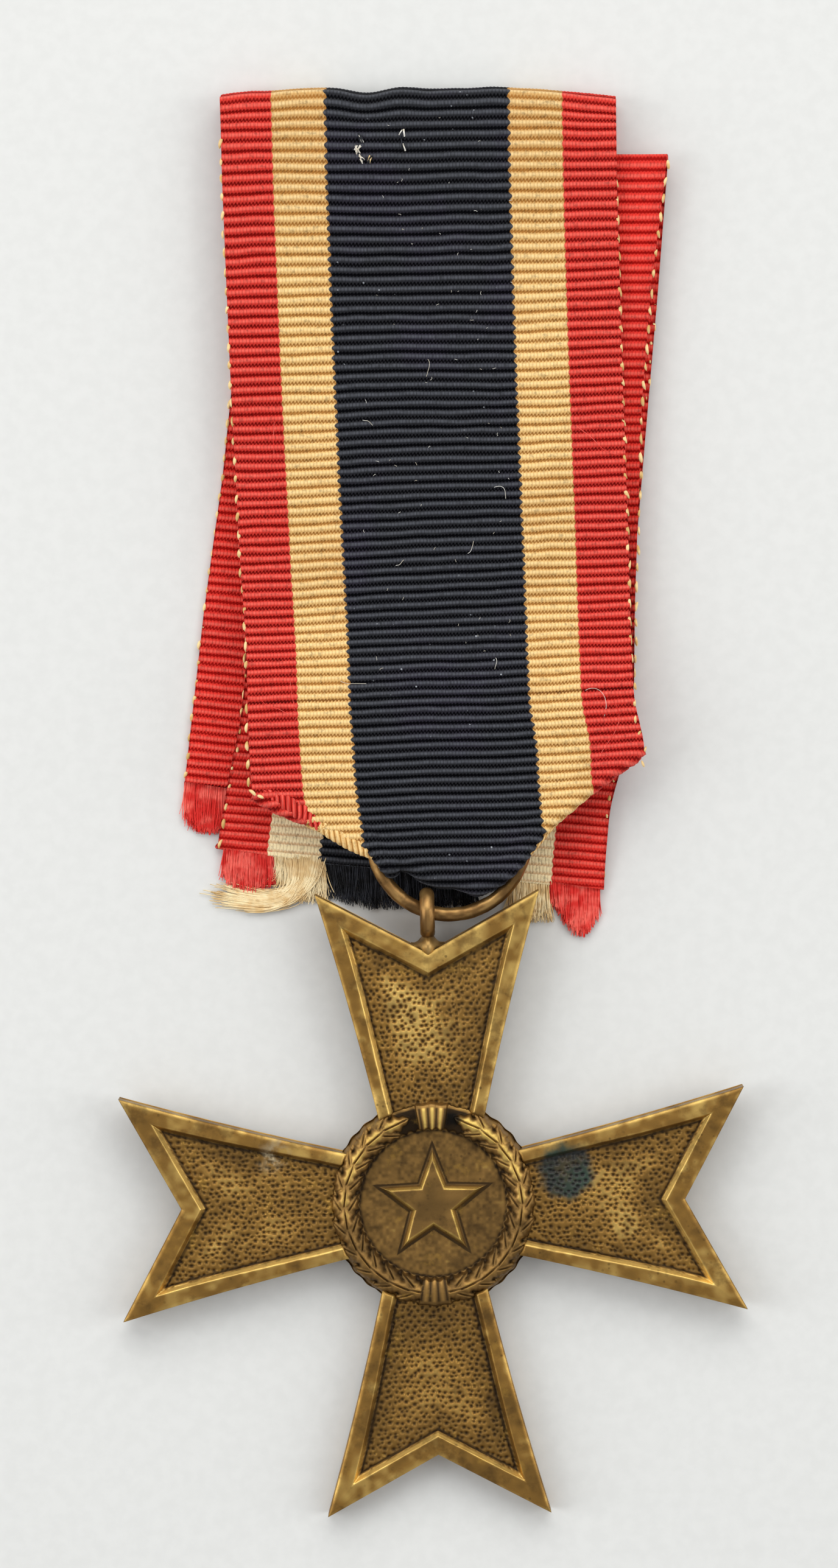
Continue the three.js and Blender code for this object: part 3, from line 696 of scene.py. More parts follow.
# ------------------------------------------------------------------ metal materials
def bronze(name, dark=(46, 32, 14), mid=(150, 112, 52), bright=(250, 212, 122), rough=0.42, metallic=0.8, marks=False, spot=False):
    """The attribute runs from 0 in the crevices to 1 on worn high points; it also carries painted shade in the arms'
    stippled pits and painted highlights on the arms' bevels and the wreath's upper half.
    """
    t = Tree(name)
    wear_and_light = t.attr("wear_and_light")
    obj = t.coord("Object")
    big = t.noise(110, 4, 0.6, vec=obj)
    mot = t.noise(520, 4, 0.65, vec=obj)
    fine = t.noise(3200, 3, 0.7, vec=obj)
    x, y, z = t.split(obj)
    c = t.mix(t.range(wear_and_light, 0.0, 0.5, smooth=False), lin(dark), lin(mid))
    c = t.mix(t.range(wear_and_light, 0.5, 1.0, smooth=False), c, lin(bright))
    c = t.mix(t.math("MULTIPLY", t.range(big, 0.42, 0.7), 0.4), c, t.mix(0.5, c, lin((96, 72, 38))))
    c = t.mix(t.math("MULTIPLY", t.range(mot, 0.5, 0.66), 0.7), c, t.mix(0.6, c, lin((62, 44, 22))))
    c = t.mix(t.math("MULTIPLY", t.range(mot, 0.28, 0.42, 1.0, 0.0), 0.45), c, t.mix(0.6, c, lin((206, 160, 70))))
    speck = t.math("MULTIPLY", t.range(t.voronoi(1500, vec=obj), 0.1, 0.22, 1.0, 0.0), t.range(t.noise(240, 2, vec=obj), 0.45, 0.65))
    c = t.mix(t.math("MULTIPLY", speck, 0.55), c, lin((62, 46, 26)))
    rough_s = t.math("ADD", t.range(mot, 0.3, 0.7, rough - 0.05, rough + 0.12, smooth=False), t.range(wear_and_light, 0.0, 0.5, 0.12, 0.0))
    met = metallic
    if marks or spot:
        def blob(px, py, r, soft=0.45):
            c0 = ((px - 712) / 21.2 * MM, (1318.5 - py) / 21.2 * MM)
            w = t.vmath("ADD", obj, t.vmath("SCALE", t.vmath("SUBTRACT", t.join(t.noise(700, 3, vec=obj), t.noise(820, 3, vec=obj), 0), (0.5, 0.5, 0)), scale=0.0016))
            dx = t.math("SUBTRACT", t.split(w)[0], c0[0])
            dy = t.math("SUBTRACT", t.split(w)[1], c0[1])
            dd = t.math("SQRT", t.math("ADD", t.math("MULTIPLY", dx, dx), t.math("MULTIPLY", dy, dy)))
            return t.range(dd, r * MM * (1 - soft), r * MM * (1 + soft), 1.0, 0.0)
        dark_spot = blob(744, 1836, 0.55, 0.35)
        c = t.mix(t.math("MULTIPLY", dark_spot, 0.93), c, lin((16, 13, 9)))
    if marks:
        verd = t.math("MULTIPLY", blob(930, 1926, 2.15, 0.22), t.range(mot, 0.3, 0.5, 0.9, 1.0))
        c = t.mix(t.math("MULTIPLY", verd, 0.97), c, t.mix(t.range(wear_and_light, 0.2, 0.7), lin((6, 14, 12)), lin((30, 56, 46))))
        pale = t.math("MULTIPLY", blob(452, 1900, 1.0, 0.6), t.range(mot, 0.42, 0.58, 0.0, 0.8))
        c = t.mix(pale, c, lin((176, 160, 128)))
        t.set(Metallic=t.math("SUBTRACT", metallic, t.math("MULTIPLY", verd, 0.6)))
    else:
        t.set(Metallic=met)
    hgt = t.math("ADD", t.math("MULTIPLY", fine, 0.5), t.math("MULTIPLY", mot, 0.8))
    t.set(Base_Color=c, Roughness=rough_s, Normal=t.bump(hgt, 0.35, 0.00007))
    return t.mat


BRONZE = bronze("struck_bronze", marks=True)
BRONZE_DISC = bronze("struck_bronze_disc", dark=(38, 26, 12), mid=(150, 114, 60), bright=(255, 218, 118), spot=True)
WIRE = bronze("ring_bronze", dark=(66, 46, 22), mid=(140, 104, 58), bright=(206, 164, 100), rough=0.36)
SOLDER = bronze("solder_bronze", dark=(66, 48, 24), mid=(150, 116, 64), bright=(214, 178, 112), rough=0.42)

# ------------------------------------------------------------------ the cross
LEAN = math.asin(1.65 / 46.65)
TURN = math.radians(1.2)
CX, CZ = math.cos(LEAN), math.sin(LEAN)
RX = np.array([[1, 0, 0], [0, CX, -CZ], [0, CZ, CX]])
RZ = np.array([[math.cos(TURN), -math.sin(TURN), 0], [math.sin(TURN), math.cos(TURN), 0], [0, 0, 1]])
RM = RZ @ RX


def to_medal(v):
    """Points of the cross, centred on its medallion, into the CAD frame in mm."""
    return (np.asarray(v, float) + np.array([0, -22.5, 0])) @ RM.T + EYE


def cells(x, y, size, seed, jitter=0.85):
    """Distances to the nearest and next seed of a jittered grid, and the nearest cell's random value."""
    g = np.random.default_rng(seed)
    jx, jy, rv = g.uniform(-0.5, 0.5, (128, 128)) * jitter, g.uniform(-0.5, 0.5, (128, 128)) * jitter, g.uniform(0, 1, (128, 128))
    row = np.floor(y / (size * 0.88)).astype(int)
    best = np.full(x.shape, 1e9)
    second = np.full(x.shape, 1e9)
    val = np.zeros(x.shape)
    for dr in (-2, -1, 0, 1, 2):
        r = row + dr
        off = 0.5 * (r % 2)
        c0 = np.floor(x / size - off).astype(int)
        for dc in (-1, 0, 1, 2):
            c = c0 + dc
            px = (c + off + jx[r % 128, c % 128]) * size
            py = (r + jy[r % 128, c % 128]) * size * 0.88
            d = np.hypot(x - px, y - py)
            closer = d < best
            second = np.where(closer, best, np.minimum(second, d))
            val = np.where(closer, rv[r % 128, c % 128], val)
            best = np.where(closer, d, best)
    return best, second, val


def pebbles(x, y, seed, size=0.40):
    """Struck stippling: small soft pits, a little wider than tall, in a rounded ground. Returns height 0..1."""
    wx = x + 0.10 * value_noise(seed + 3, x, y, 0.9)
    wy = y + 0.10 * value_noise(seed + 4, x, y, 0.8)
    d1, d2, v = cells(wx * 0.9, wy, size, seed, jitter=0.62)
    pit = np.exp(-(d1 / (size * (0.25 + 0.09 * v))) ** 2)
    return np.clip(1 - pit * (0.75 + 0.25 * v), 0, 1), v


PLATE, FLOOR_Z, REC = 1.15, 0.60, 0.35
RIM_TIP, BEV = 1.28, 0.30
TIPN = math.hypot(8.65, 4.7)


def side_w(x):
    f = (x - 7) / 17.15
    return 4.15 + 4.5 * (0.88 * f + 0.12 * f * f)


def rim_side(x):
    return 0.86 + 0.34 * smooth(x, 7, 21)


def arm_mesh(name, turn, seed, bevel_highlights):
    """The last argument sets the bevel's painted highlight along side +y, side -y, tip +y, tip -y: bright where the
    bevel faces the light, dark where it faces away.
    """
    x0 = 4.6
    NV, inner = 200, 0
    # stations across, from the edge inward in mm, then the field
    edge = np.array([0, 0.05, 0.13, 0.35, 0.6, 0.8, 0.9, 1.0, 1.08, 1.16, 1.22, 1.28, 1.34, 1.40, 1.46, 1.52, 1.58, 1.64, 1.74, 1.9])
    nf = 84
    vv = []
    # v runs from the root to the tip
    tip_d = edge[::-1]
    rows = NV + len(tip_d)
    U = np.zeros((rows, 2 * (len(edge) + nf) - 1))
    half = len(edge) + nf
    X = np.zeros_like(U)
    Y = np.zeros_like(U)
    f01 = np.linspace(0, 1, NV + 1)[:-1]
    for it in range(rows):
        # the row's own place along the side edge, found from its distance to the tip line
        k = it
        if k < NV:
            share, dt = f01[k], None
        else:
            share, dt = None, tip_d[k - NV]
        for sgn in (-1, 1):
            pass
        # distance stations across at this row
        def x_side(u_abs):
            return None
        # per column: iterate so that the rim lines follow the edges
        cols_u = np.zeros(half)
        xs_edge = x0 + (24.15 - x0) * (share * (1 - edge[-1] * TIPN / 8.65 / (24.15 - x0)) if dt is None else 1 - dt * TIPN / 8.65 / (24.15 - x0))
        w = side_w(xs_edge)
        d = np.r_[edge, edge[-1] + (w * 0.966 - edge[-1]) * np.linspace(0, 1, nf + 1)[1:]]
        cols_u = 1 - d / (w * 0.966)
        full = np.r_[-cols_u, cols_u[::-1][1:]]
        full = np.r_[-cols_u[:-1], 0, cols_u[:-1][::-1]]
        xt = 19.45 + np.abs(full) * 4.7
        field_end = 1 - edge[-1] * TIPN / 8.65 / (xt - x0)
        vpar = share * field_end if dt is None else 1 - dt * TIPN / 8.65 / (xt - x0)
        X[it] = x0 + vpar * (xt - x0)
        Y[it] = full * w
    d_tip = -((X - 19.45) * 8.65 - np.abs(Y) * 4.7) / TIPN
    d_side = (side_w(X) - np.abs(Y)) * 0.966
    d = np.minimum(d_tip, d_side)
    # distance past the border's inner line, which is narrower along the sides
    e_tip, e_side = d_tip - RIM_TIP, d_side - rim_side(X)
    e = np.minimum(e_tip, e_side)
    on_tip = e_tip < e_side
    pos = Y > 0
    # Painted highlight: each stretch of bevel gets its own brightness from the way it faces the light.
    bevel_highlight = np.where(on_tip, np.where(pos, bevel_highlights[2], bevel_highlights[3]), np.where(pos, bevel_highlights[0], bevel_highlights[1]))
    a = math.radians(turn)
    ca, sa = math.cos(a), math.sin(a)
    GX, GY = X * ca - Y * sa, X * sa + Y * ca
    peb, val = pebbles(GX, GY, 7, 0.45)
    fld = smooth(e, BEV * 0.75, BEV + 0.14)
    bevel = 1 - np.clip(e / BEV, 0, 1)
    chamf = np.clip(1 - d / 0.2, 0, 1) ** 2
    nz = value_noise(seed + 21, GX, GY, 3.0) * 0.02 + value_noise(seed + 22, GX, GY, 0.7) * 0.01
    crown = -0.05 * smooth(-e, 0.0, 0.9)
    Z = FLOOR_Z + (PLATE - FLOOR_Z) * bevel - 0.13 * chamf + nz * bevel + crown
    Z = Z + fld * (0.17 * peb - 0.1)
    r = np.hypot(X, Y)
    worn = smooth(e, 0.9, 2.6) * smooth(r, 8.5, 12.5) * (0.75 + 0.4 * value_noise(seed + 6, GX, GY, 3.2))
    gain = {90: 1.14, 180: 1.04, 0: 1.0, 270: 0.84}[turn]
    patina = 1 - 0.35 * smooth(value_noise(seed + 7, GX, GY, 1.7), -0.1, 0.9)
    rimc = {90: 0.58, 180: 0.52, 0: 0.52, 270: 0.46}[turn] + 0.17 * value_noise(seed + 5, GX, GY, 1.4) + 0.12 * value_noise(seed + 8, GX, GY, 0.5)
    # The field's colour follows the stippling: painted shade in its pits and lighter bumps, together with the worn
    # centre and the patina.
    wear_and_light = rimc * (1 - fld) + fld * (0.0 + (0.41 + 0.33 * np.clip(worn, 0, 1)) * peb ** 1.25 * patina * gain)
    face = np.exp(-((e - BEV * 0.45) / (BEV * 0.42)) ** 2)
    # Painted highlight and shade on the bevel from the way it faces the light, with thin bright lines along the rim's
    # inner line and near the outer edge.
    painted_bevel_light = face * (bevel_highlight - 0.25) * 0.95 + np.exp(-((e + 0.02) / 0.05) ** 2) * 0.12 + np.exp(-((d - 0.08) / 0.06) ** 2) * 0.12
    wear_and_light = np.clip(wear_and_light + painted_bevel_light - 0.4 * np.exp(-((e - BEV - 0.1) / 0.13) ** 2), 0, 1)
    sink = smooth(-r, -7.75, -7.45)
    Z = Z * (1 - sink) - 0.35 * sink
    # reverse: a shallower recess inside a plain rim
    step = 2
    ci = np.array(sorted(set(list(range(0, X.shape[1], step)) + [X.shape[1] - 1])))
    ri = np.array(sorted(set(list(range(0, rows, step)) + [rows - 1])))
    Xb, Yb, db = X[np.ix_(ri, ci)], Y[np.ix_(ri, ci)], d[np.ix_(ri, ci)]
    eb = e[np.ix_(ri, ci)]
    gxb, gyb = GX[np.ix_(ri, ci)], GY[np.ix_(ri, ci)]
    pb, vb = pebbles(gxb, gyb, 9)
    fb = smooth(eb, BEV * 0.75, BEV + 0.14)
    bb = 1 - smooth(eb, 0, BEV)
    Zb = -(PLATE - REC) - REC * bb + 0.1 * np.clip(1 - db / 0.16, 0, 1) ** 2 - fb * (0.1 * pb - 0.03)
    rbk = np.hypot(Xb, Yb)
    Zb = Zb * (1 - smooth(-rbk, -6.3, -6.0)) - 0.7 * smooth(-rbk, -6.3, -6.0)
    cb = np.clip(np.where(eb < BEV * 0.8, 0.5 + 0.12 * value_noise(seed + 9, gxb, gyb, 1.3), 0.05 + 0.55 * pb), 0, 1)
    top = np.stack([GX, GY, Z], -1).reshape(-1, 3)
    bot = np.stack([gxb, gyb, Zb], -1).reshape(-1, 3)
    verts = np.concatenate([top, bot])
    R, C = X.shape
    rb, cbn = Xb.shape
    base = R * C
    quads = [grid_quads(R, C, 0, flip=True), grid_quads(rb, cbn, base, flip=False)]
    fid, bid = np.arange(R * C).reshape(R, C), base + np.arange(rb * cbn).reshape(rb, cbn)
    polys = []

    def wall(f, b, cuts, rev):
        for i in range(len(cuts) - 1):
            p = list(f[cuts[i]:cuts[i + 1] + 1]) + [b[i + 1], b[i]]
            polys.append(p[::-1] if rev else p)
    wall(fid[:, 0], bid[:, 0], ri, False)
    wall(fid[:, -1], bid[:, -1], ri, True)
    wall(fid[0, :], bid[0, :], ci, True)
    wall(fid[-1, :], bid[-1, :], ci, False)
    return make_mesh(name, to_medal(verts), np.concatenate(quads), polys, attrs={"wear_and_light": np.r_[wear_and_light.ravel(), cb.ravel()]}, mat=BRONZE)


# The last four numbers of each arm are its painted bevel highlights: bright on bevels facing the light from the top,
# dark on those facing away.
for nm, turn, seed, gl in (("cross_arm_top", 90, 100, (1.0, 0.45, 0.4, 0.2)), ("cross_arm_left", 180, 200, (1.0, 0.15, 0.35, 1.0)),
                           ("cross_arm_bottom", 270, 300, (0.3, 0.4, 0.95, 1.0)), ("cross_arm_right", 0, 400, (0.2, 0.85, 1.0, 0.8))):
    o = arm_mesh(nm, turn, seed, gl)
    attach(o, "medal")


def star_dist(x, y, R, inner):
    """Distance inside a five-pointed star's outline, negative outside."""
    th = np.arctan2(x, y)
    k = 2 * np.pi / 5
    t = np.abs((th + k / 2) % k - k / 2)
    r = np.hypot(x, y)
    px, py = r * np.cos(t), r * np.sin(t)
    ax, ay = R, 0.0
    bx, by = R * inner * math.cos(k / 2), R * inner * math.sin(k / 2)
    ex, ey = bx - ax, by - ay
    ln = math.hypot(ex, ey)
    return -((px - ax) * (-ey) + (py - ay) * ex) / ln * -1.0


def leaf(px, py, cx, cy, ang, length, width):
    dx, dy = px - cx, py - cy
    a = dx * math.cos(ang) + dy * math.sin(ang)
    b = -dx * math.sin(ang) + dy * math.cos(ang)
    t = a / length + 0.5
    prof = np.where((t > 0) & (t < 1), np.sin(np.pi * np.clip(t, 0, 1) ** 0.8) ** 0.75, 0)
    w = width / 2 * prof * (1 + 0.17 * np.cos(t * 2 * np.pi * 3.5))
    s = np.clip(1 - (b / np.maximum(w, 1e-4)) ** 2, 0, 1) * (prof > 0)
    h = np.sqrt(s) * (0.65 + 0.35 * prof)
    vein = np.exp(-(b / 0.05) ** 2) * 0.42
    return h * (1 - vein), s


def medallion():
    NR, NT = 118, 760
    r = np.r_[np.linspace(0, 5.55, 66), np.linspace(5.6, 8.08, 51), [8.08]][:NR]
    th = np.linspace(0, 2 * np.pi, NT, endpoint=False)
    Rg, Tg = np.meshgrid(r, th, indexing="ij")
    edge_wob = 1 + 0.006 * np.cos(Tg * 36) * smooth(Rg, 7.3, 7.9)
    X, Y = Rg * np.cos(Tg) * edge_wob, Rg * np.sin(Tg) * edge_wob
    base = 0.25 + 0.012 * value_noise(51, X, Y, 0.5)
    d = star_dist(X, Y, 4.5, 0.42)
    star = smooth(d, 0.0, 0.42)
    Z = base + 0.55 * star
    starcav = np.where(d > 0.3, 0.36 + 0.14 * value_noise(52, X, Y, 0.8), 0.0) + np.exp(-((d - 0.24) / 0.15) ** 2) * 0.7
    wear_and_light = np.where(d > -0.02, starcav, 0.36 + 0.17 * value_noise(53, X, Y, 0.25) + 0.08 * value_noise(54, X, Y, 1.5))
    wear_and_light = np.where((d <= -0.02) & (d > -0.15), 0.04, wear_and_light)
    # the wreath: two branches rising from the tie at the bottom to the tie at the top
    wz = np.zeros_like(X)
    ws = np.zeros_like(X)
    m = Rg > 5.2
    for sgn in (-1, 1):
        n = 11
        for i in range(n):
            for lane, rad, tilt, ln, wd in ((0, 6.84, 0.0, 2.5, 1.35), (1, 7.36, -0.6, 2.2, 1.2), (2, 6.32, 0.6, 2.2, 1.2)):
                t = (i + (0.5 if lane else 0.0)) / n
                a = -math.pi / 2 + sgn * (math.radians(10) + t * math.radians(160))
                if lane and i == n - 1:
                    continue
                direction = a + sgn * (math.pi / 2 + tilt)
                h, s = leaf(X[m], Y[m], rad * math.cos(a), rad * math.sin(a), direction, ln, wd)
                h = h * (1.0 if lane == 0 else 0.82)
                wz[m] = np.maximum(wz[m], h)
                ws[m] = np.maximum(ws[m], s)
    bandA = np.minimum(np.abs((Tg - np.pi / 2 + np.pi) % (2 * np.pi) - np.pi), np.abs((Tg + np.pi / 2 + np.pi) % (2 * np.pi) - np.pi))
    tie = 1 - smooth(bandA, math.radians(8.6), math.radians(9.8))
    sA = np.where(np.abs((Tg - np.pi / 2 + np.pi) % (2 * np.pi) - np.pi) < 1, (Tg - np.pi / 2 + np.pi) % (2 * np.pi) - np.pi, (Tg + np.pi / 2 + np.pi) % (2 * np.pi) - np.pi)
    ridge = np.sqrt(np.abs(np.cos(sA / math.radians(2.6) * np.pi / 2 * 1.0 + 0.3)))
    cross_arc = np.sqrt(np.clip(1 - ((Rg - 6.86) / 1.26) ** 2, 0, 1))
    body = 0.30 + 0.55 * cross_arc                 # the swell of the wreath under its leaves
    leafZ = body - 0.1 + 0.66 * wz * (0.55 + 0.45 * cross_arc)
    tieZ = 0.45 + 0.72 * cross_arc + 0.12 * ridge
    wreathZ = leafZ * (1 - tie) + tieZ * tie
    inner_w = 5.86 - 0.16 * np.abs(np.sin(Tg * 27)) ** 3
    w = smooth(Rg, inner_w - 0.08, inner_w + 0.14)
    Z = Z * (1 - w) + wreathZ * w
    Z = Z - 0.55 * smooth(Rg, 7.72, 8.08)
    Z[-1] = 0.1
    gold = 0.5 + 0.5 * value_noise(55, X, Y, 1.5)
    wc = np.clip(-0.04 + (0.62 + 0.42 * gold) * wz ** 1.7, 0, 1) * (1 - tie) + tie * (0.05 + 0.8 * ridge ** 4)
    outer_slope = smooth(Rg, 7.45, 7.62)
    wc = wc * (1 - outer_slope) + outer_slope * (0.42 + 0.12 * value_noise(56, X, Y, 0.9))
    # Painted light: the wreath's upper half is made brighter and its lower half darker, as if lit from above.
    up = smooth(Y, -4, 5)
    wc = wc * (0.62 + 0.46 * up)
    wear_and_light = wear_and_light * (1 - w) + wc * w
    wear_and_light = np.clip(wear_and_light - 0.3 * np.exp(-((Rg - 5.66) / 0.12) ** 2), 0, 1)
    # reverse disc
    rb = np.array([8.0, 7.9, 6.5, 6.4, 6.3, 3.2, 0.0001])
    zb = np.array([-0.35, -1.05, -1.12, -1.14, -1.13, -1.13, -1.13])
    step = 4
    tb = th[::step]
    Xb, Yb = rb[:, None] * np.cos(tb)[None], rb[:, None] * np.sin(tb)[None]
    Zb = np.repeat(zb[:, None], len(tb), 1)
    verts = np.concatenate([np.stack([X, Y, Z], -1).reshape(-1, 3), np.stack([Xb, Yb, Zb], -1).reshape(-1, 3)])
    base_i = len(r) * NT
    quads = [grid_quads(len(r), NT, 0, wrap_cols=True), grid_quads(len(rb), len(tb), base_i, wrap_cols=True)]
    fid, bid = np.arange(base_i).reshape(len(r), NT), base_i + np.arange(len(rb) * len(tb)).reshape(len(rb), len(tb))
    polys = []
    last = np.r_[fid[-1], fid[-1][0]]
    for i in range(len(tb)):
        p = list(last[i * step:(i + 1) * step + 1]) + [bid[0][(i + 1) % len(tb)], bid[0][i]]
        polys.append(p)
    q = np.concatenate(quads)
    return make_mesh("cross_medallion", to_medal(verts), q, polys, attrs={"wear_and_light": np.r_[wear_and_light.ravel(), np.full(Xb.size, 0.45)]}, mat=BRONZE_DISC)


med = medallion()
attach(med, "medal")
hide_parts("cross_planchet")


# ------------------------------------------------------------------ ring, eye, solder
def torus(name, R, r, n_major, n_minor, place, mat, wear=0.02, seed=1):
    a = np.linspace(0, 2 * np.pi, n_major, endpoint=False)
    b = np.linspace(0, 2 * np.pi, n_minor, endpoint=False)
    A, B = np.meshgrid(a, b, indexing="ij")
    rr = r * (1 + wear * value_noise(seed, A * R, B * r, 0.7) + wear * 0.6 * value_noise(seed + 1, A * R, B * r * 3, 0.25))
    X, Y, Z = (R + rr * np.cos(B)) * np.cos(A), (R + rr * np.cos(B)) * np.sin(A), rr * np.sin(B)
    wear_and_light = 0.5 + 0.28 * value_noise(seed + 2, A * R, B * 1.2, 1.6) + 0.2 * value_noise(seed + 3, A * R, B * 1.5, 0.5)
    return make_mesh(name, place(np.stack([X, Y, Z], -1).reshape(-1, 3)), grid_quads(n_major, n_minor, 0, flip=True, wrap_cols=True, wrap_rows=True), attrs={"wear_and_light": np.clip(wear_and_light.ravel(), 0, 1)}, mat=mat)


ring = torus("jump_ring", RING_OUT - RING_WIRE, RING_WIRE, 220, 28, lambda v: v + RING, WIRE, wear=0.05, seed=61)
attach(ring, "ring")
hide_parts("suspension_ring")


def eye_place(v):
    w = np.stack([v[:, 2], v[:, 0], v[:, 1]], -1)
    return w @ RM.T + EYE


eye = torus("hanger_eye", EYE_OUT - EYE_WIRE, EYE_WIRE, 120, 28, eye_place, WIRE, wear=0.03, seed=71)
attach(eye, "medal")
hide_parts("suspension_eye")


def solder_mesh():
    """A pool of solder filling the notch under the eye, drawn up round its foot."""
    nx, ny = 72, 40
    x = np.linspace(-1.3, 1.3, nx)
    v = np.linspace(0, 1, ny)
    X = np.repeat(x[:, None], ny, 1)
    notch = -3.05 + np.abs(X) * 4.7 / 8.65            # the notch line, from the eye's centre
    ax = np.abs(X)
    lo = notch - 0.35
    hi = notch + 0.03 + 0.55 * np.exp(-(ax / 0.9) ** 2) + 1.0 * np.exp(-(ax / 0.62) ** 2)
    Y = lo + (hi - lo) * v[None, :]
    foot = np.exp(-(ax / 0.6) ** 2)
    pool = np.sin(np.pi * np.clip(0.12 + 0.88 * v, 0, 1))[None, :] ** 0.5
    rise = 0.4 + 0.85 * np.exp(-(ax / 0.95) ** 2)
    ztop = -0.3 + (rise + 0.45 * foot * (v[None, :] > -1)) * pool + 0.02 * value_noise(81, X, Y, 0.45)
    zbot = -0.3 - 0.9 * rise * pool
    up, dn = np.stack([X, Y, ztop], -1), np.stack([X, Y, zbot], -1)
    verts = np.concatenate([up.reshape(-1, 3), dn.reshape(-1, 3)])
    quads = [grid_quads(nx, ny, 0), grid_quads(nx, ny, nx * ny, flip=True)]
    f, b = np.arange(nx * ny).reshape(nx, ny), nx * ny + np.arange(nx * ny).reshape(nx, ny)
    for e, g, rev in ((f[:, 0], b[:, 0], False), (f[:, -1], b[:, -1], True), (f[0], b[0], True), (f[-1], b[-1], False)):
        q = np.stack([e[:-1], e[1:], g[1:], g[:-1]], -1)
        quads.append(q[:, ::-1] if rev else q)
    wear_and_light = np.clip(0.5 + 0.3 * value_noise(82, X, Y, 0.4) + 0.3 * foot * pool, 0, 1)
    vv = verts @ RM.T + EYE
    return make_mesh("solder_pool", vv, np.concatenate(quads), attrs={"wear_and_light": np.r_[wear_and_light.ravel(), wear_and_light.ravel()]}, mat=SOLDER)


sold = solder_mesh()
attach(sold, "medal")
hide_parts("eye_solder")

# ------------------------------------------------------------------ selvedge loops, frayed ends, threads
def pt(px, py):
    """Working-drawing coordinates."""
    return (px - 712) / 21.2, (1318.5 - py) / 21.2


def picots(name, spots, mat, seed, length=0.74, width=0.125):
    """Small loops of pale thread standing on a selvedge. spots: (x, y, z, angle, size)."""
    g = np.random.default_rng(seed)
    lines, radii, hue = [], [], []
    for x, y, z, ang, size in spots:
        ln = length * size * g.uniform(0.85, 1.12)
        t = np.linspace(-1, 1, 9)
        a = ang + g.normal(0, 0.12)
        dx, dy = math.cos(a), math.sin(a)
        bow = g.uniform(0.02, 0.08)
        L = np.stack([x + dx * t * ln / 2 - dy * bow * (1 - t * t), y + dy * t * ln / 2 + dx * bow * (1 - t * t), z + 0.05 - 0.16 * t ** 2], -1)
        lines.append(L)
        radii.append(width * size * g.uniform(0.85, 1.15) * np.clip(1 - np.abs(t) ** 2.6, 0.1, 1) ** 0.6)
        hue.append(4)
    return tubes(name, lines, radii, mat, sides=8, attrs=hue)


def edge_spots(edges, side_i, y0, y1, z, step=1.43, inset=0.02, seed=1, out=1):
    g = np.random.default_rng(seed)
    spots = []
    yy = y0
    while yy > y1:
        e = table(edges, np.array([yy, yy - 0.1]))
        x = e[side_i][0]
        slope = (e[side_i][0] - e[side_i][1]) / 0.1
        zz = z(yy) if callable(z) else z
        spots.append((x + out * inset + g.normal(0, 0.03), yy + g.normal(0, 0.05), zz + g.normal(0, 0.03), math.pi / 2 - math.atan(slope) + 0.12 * out, g.uniform(0.85, 1.15)))
        yy -= step * g.uniform(0.94, 1.06)
    return spots


front_z = lambda yy: float(climb(yy)) + 0.1
spots = edge_spots(FRONT_EDGES, 0, 51, 10.6, front_z, seed=1, out=-1)
spots += edge_spots(FRONT_EDGES, 1, 48, 10.2, front_z, seed=2, out=1)
spots += edge_spots(BACK_EDGES, 1, 49.6, 10, Z_BACK + 0.1, seed=3, out=1, inset=0.1)
spots += edge_spots(INNER_EDGES, 0, 34, -3.4, Z_INNER + 0.05, seed=4, out=-1)
spots += edge_spots(INNER_EDGES, 1, 40, -6.0, lambda q: float(Z_INNER - 0.5 * smooth(-q, 1.0, 6.3)), seed=5, out=1)
spots += edge_spots(OUTER_EDGES, 0, 44, 1.6, Z_OUTER + 0.05, seed=6, out=-1)
pic = picots("selvedge_loops", spots, FIBRE, 5)
shift(pic)
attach(pic, "ribbon")

lspots = []
for px, py, ang in ((405.5, 1165, 1.5), (406, 1196, 1.5), (407, 1226, 1.5), (408, 1256, 1.5)):
    x, y = pt(px, py)
    lspots.append((x + 0.05, y, float(climb(y)) + 0.16, ang, 1.0))
for px, py, ang in ((1044, 1128, 1.6), (1043, 1156, 1.6), (1044, 1182, 1.5), (1050, 1206, 1.2), (1060, 1232, 1.6), (1056, 1255, 1.9)):
    x, y = pt(px, py)
    lspots.append((x - 0.1, y, float(climb(y)) + 0.16, ang, 0.8))
lp = picots("selvedge_loops_lower", lspots, FIBRE, 15)
shift(lp)
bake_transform(lp)

# picots that turn the folded corner, and the rolled edge below it
cspots = []
for px, py, ang in ((410, 1285, 1.45), (416, 1303, -0.7), (429, 1309, -0.35)):
    x, y = pt(px, py)
    cspots.append((x, y, Z_LF + 0.42, ang, 0.95))
cp = picots("corner_loops", cspots, FIBRE, 16)
shift(cp)
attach(cp, "loop")


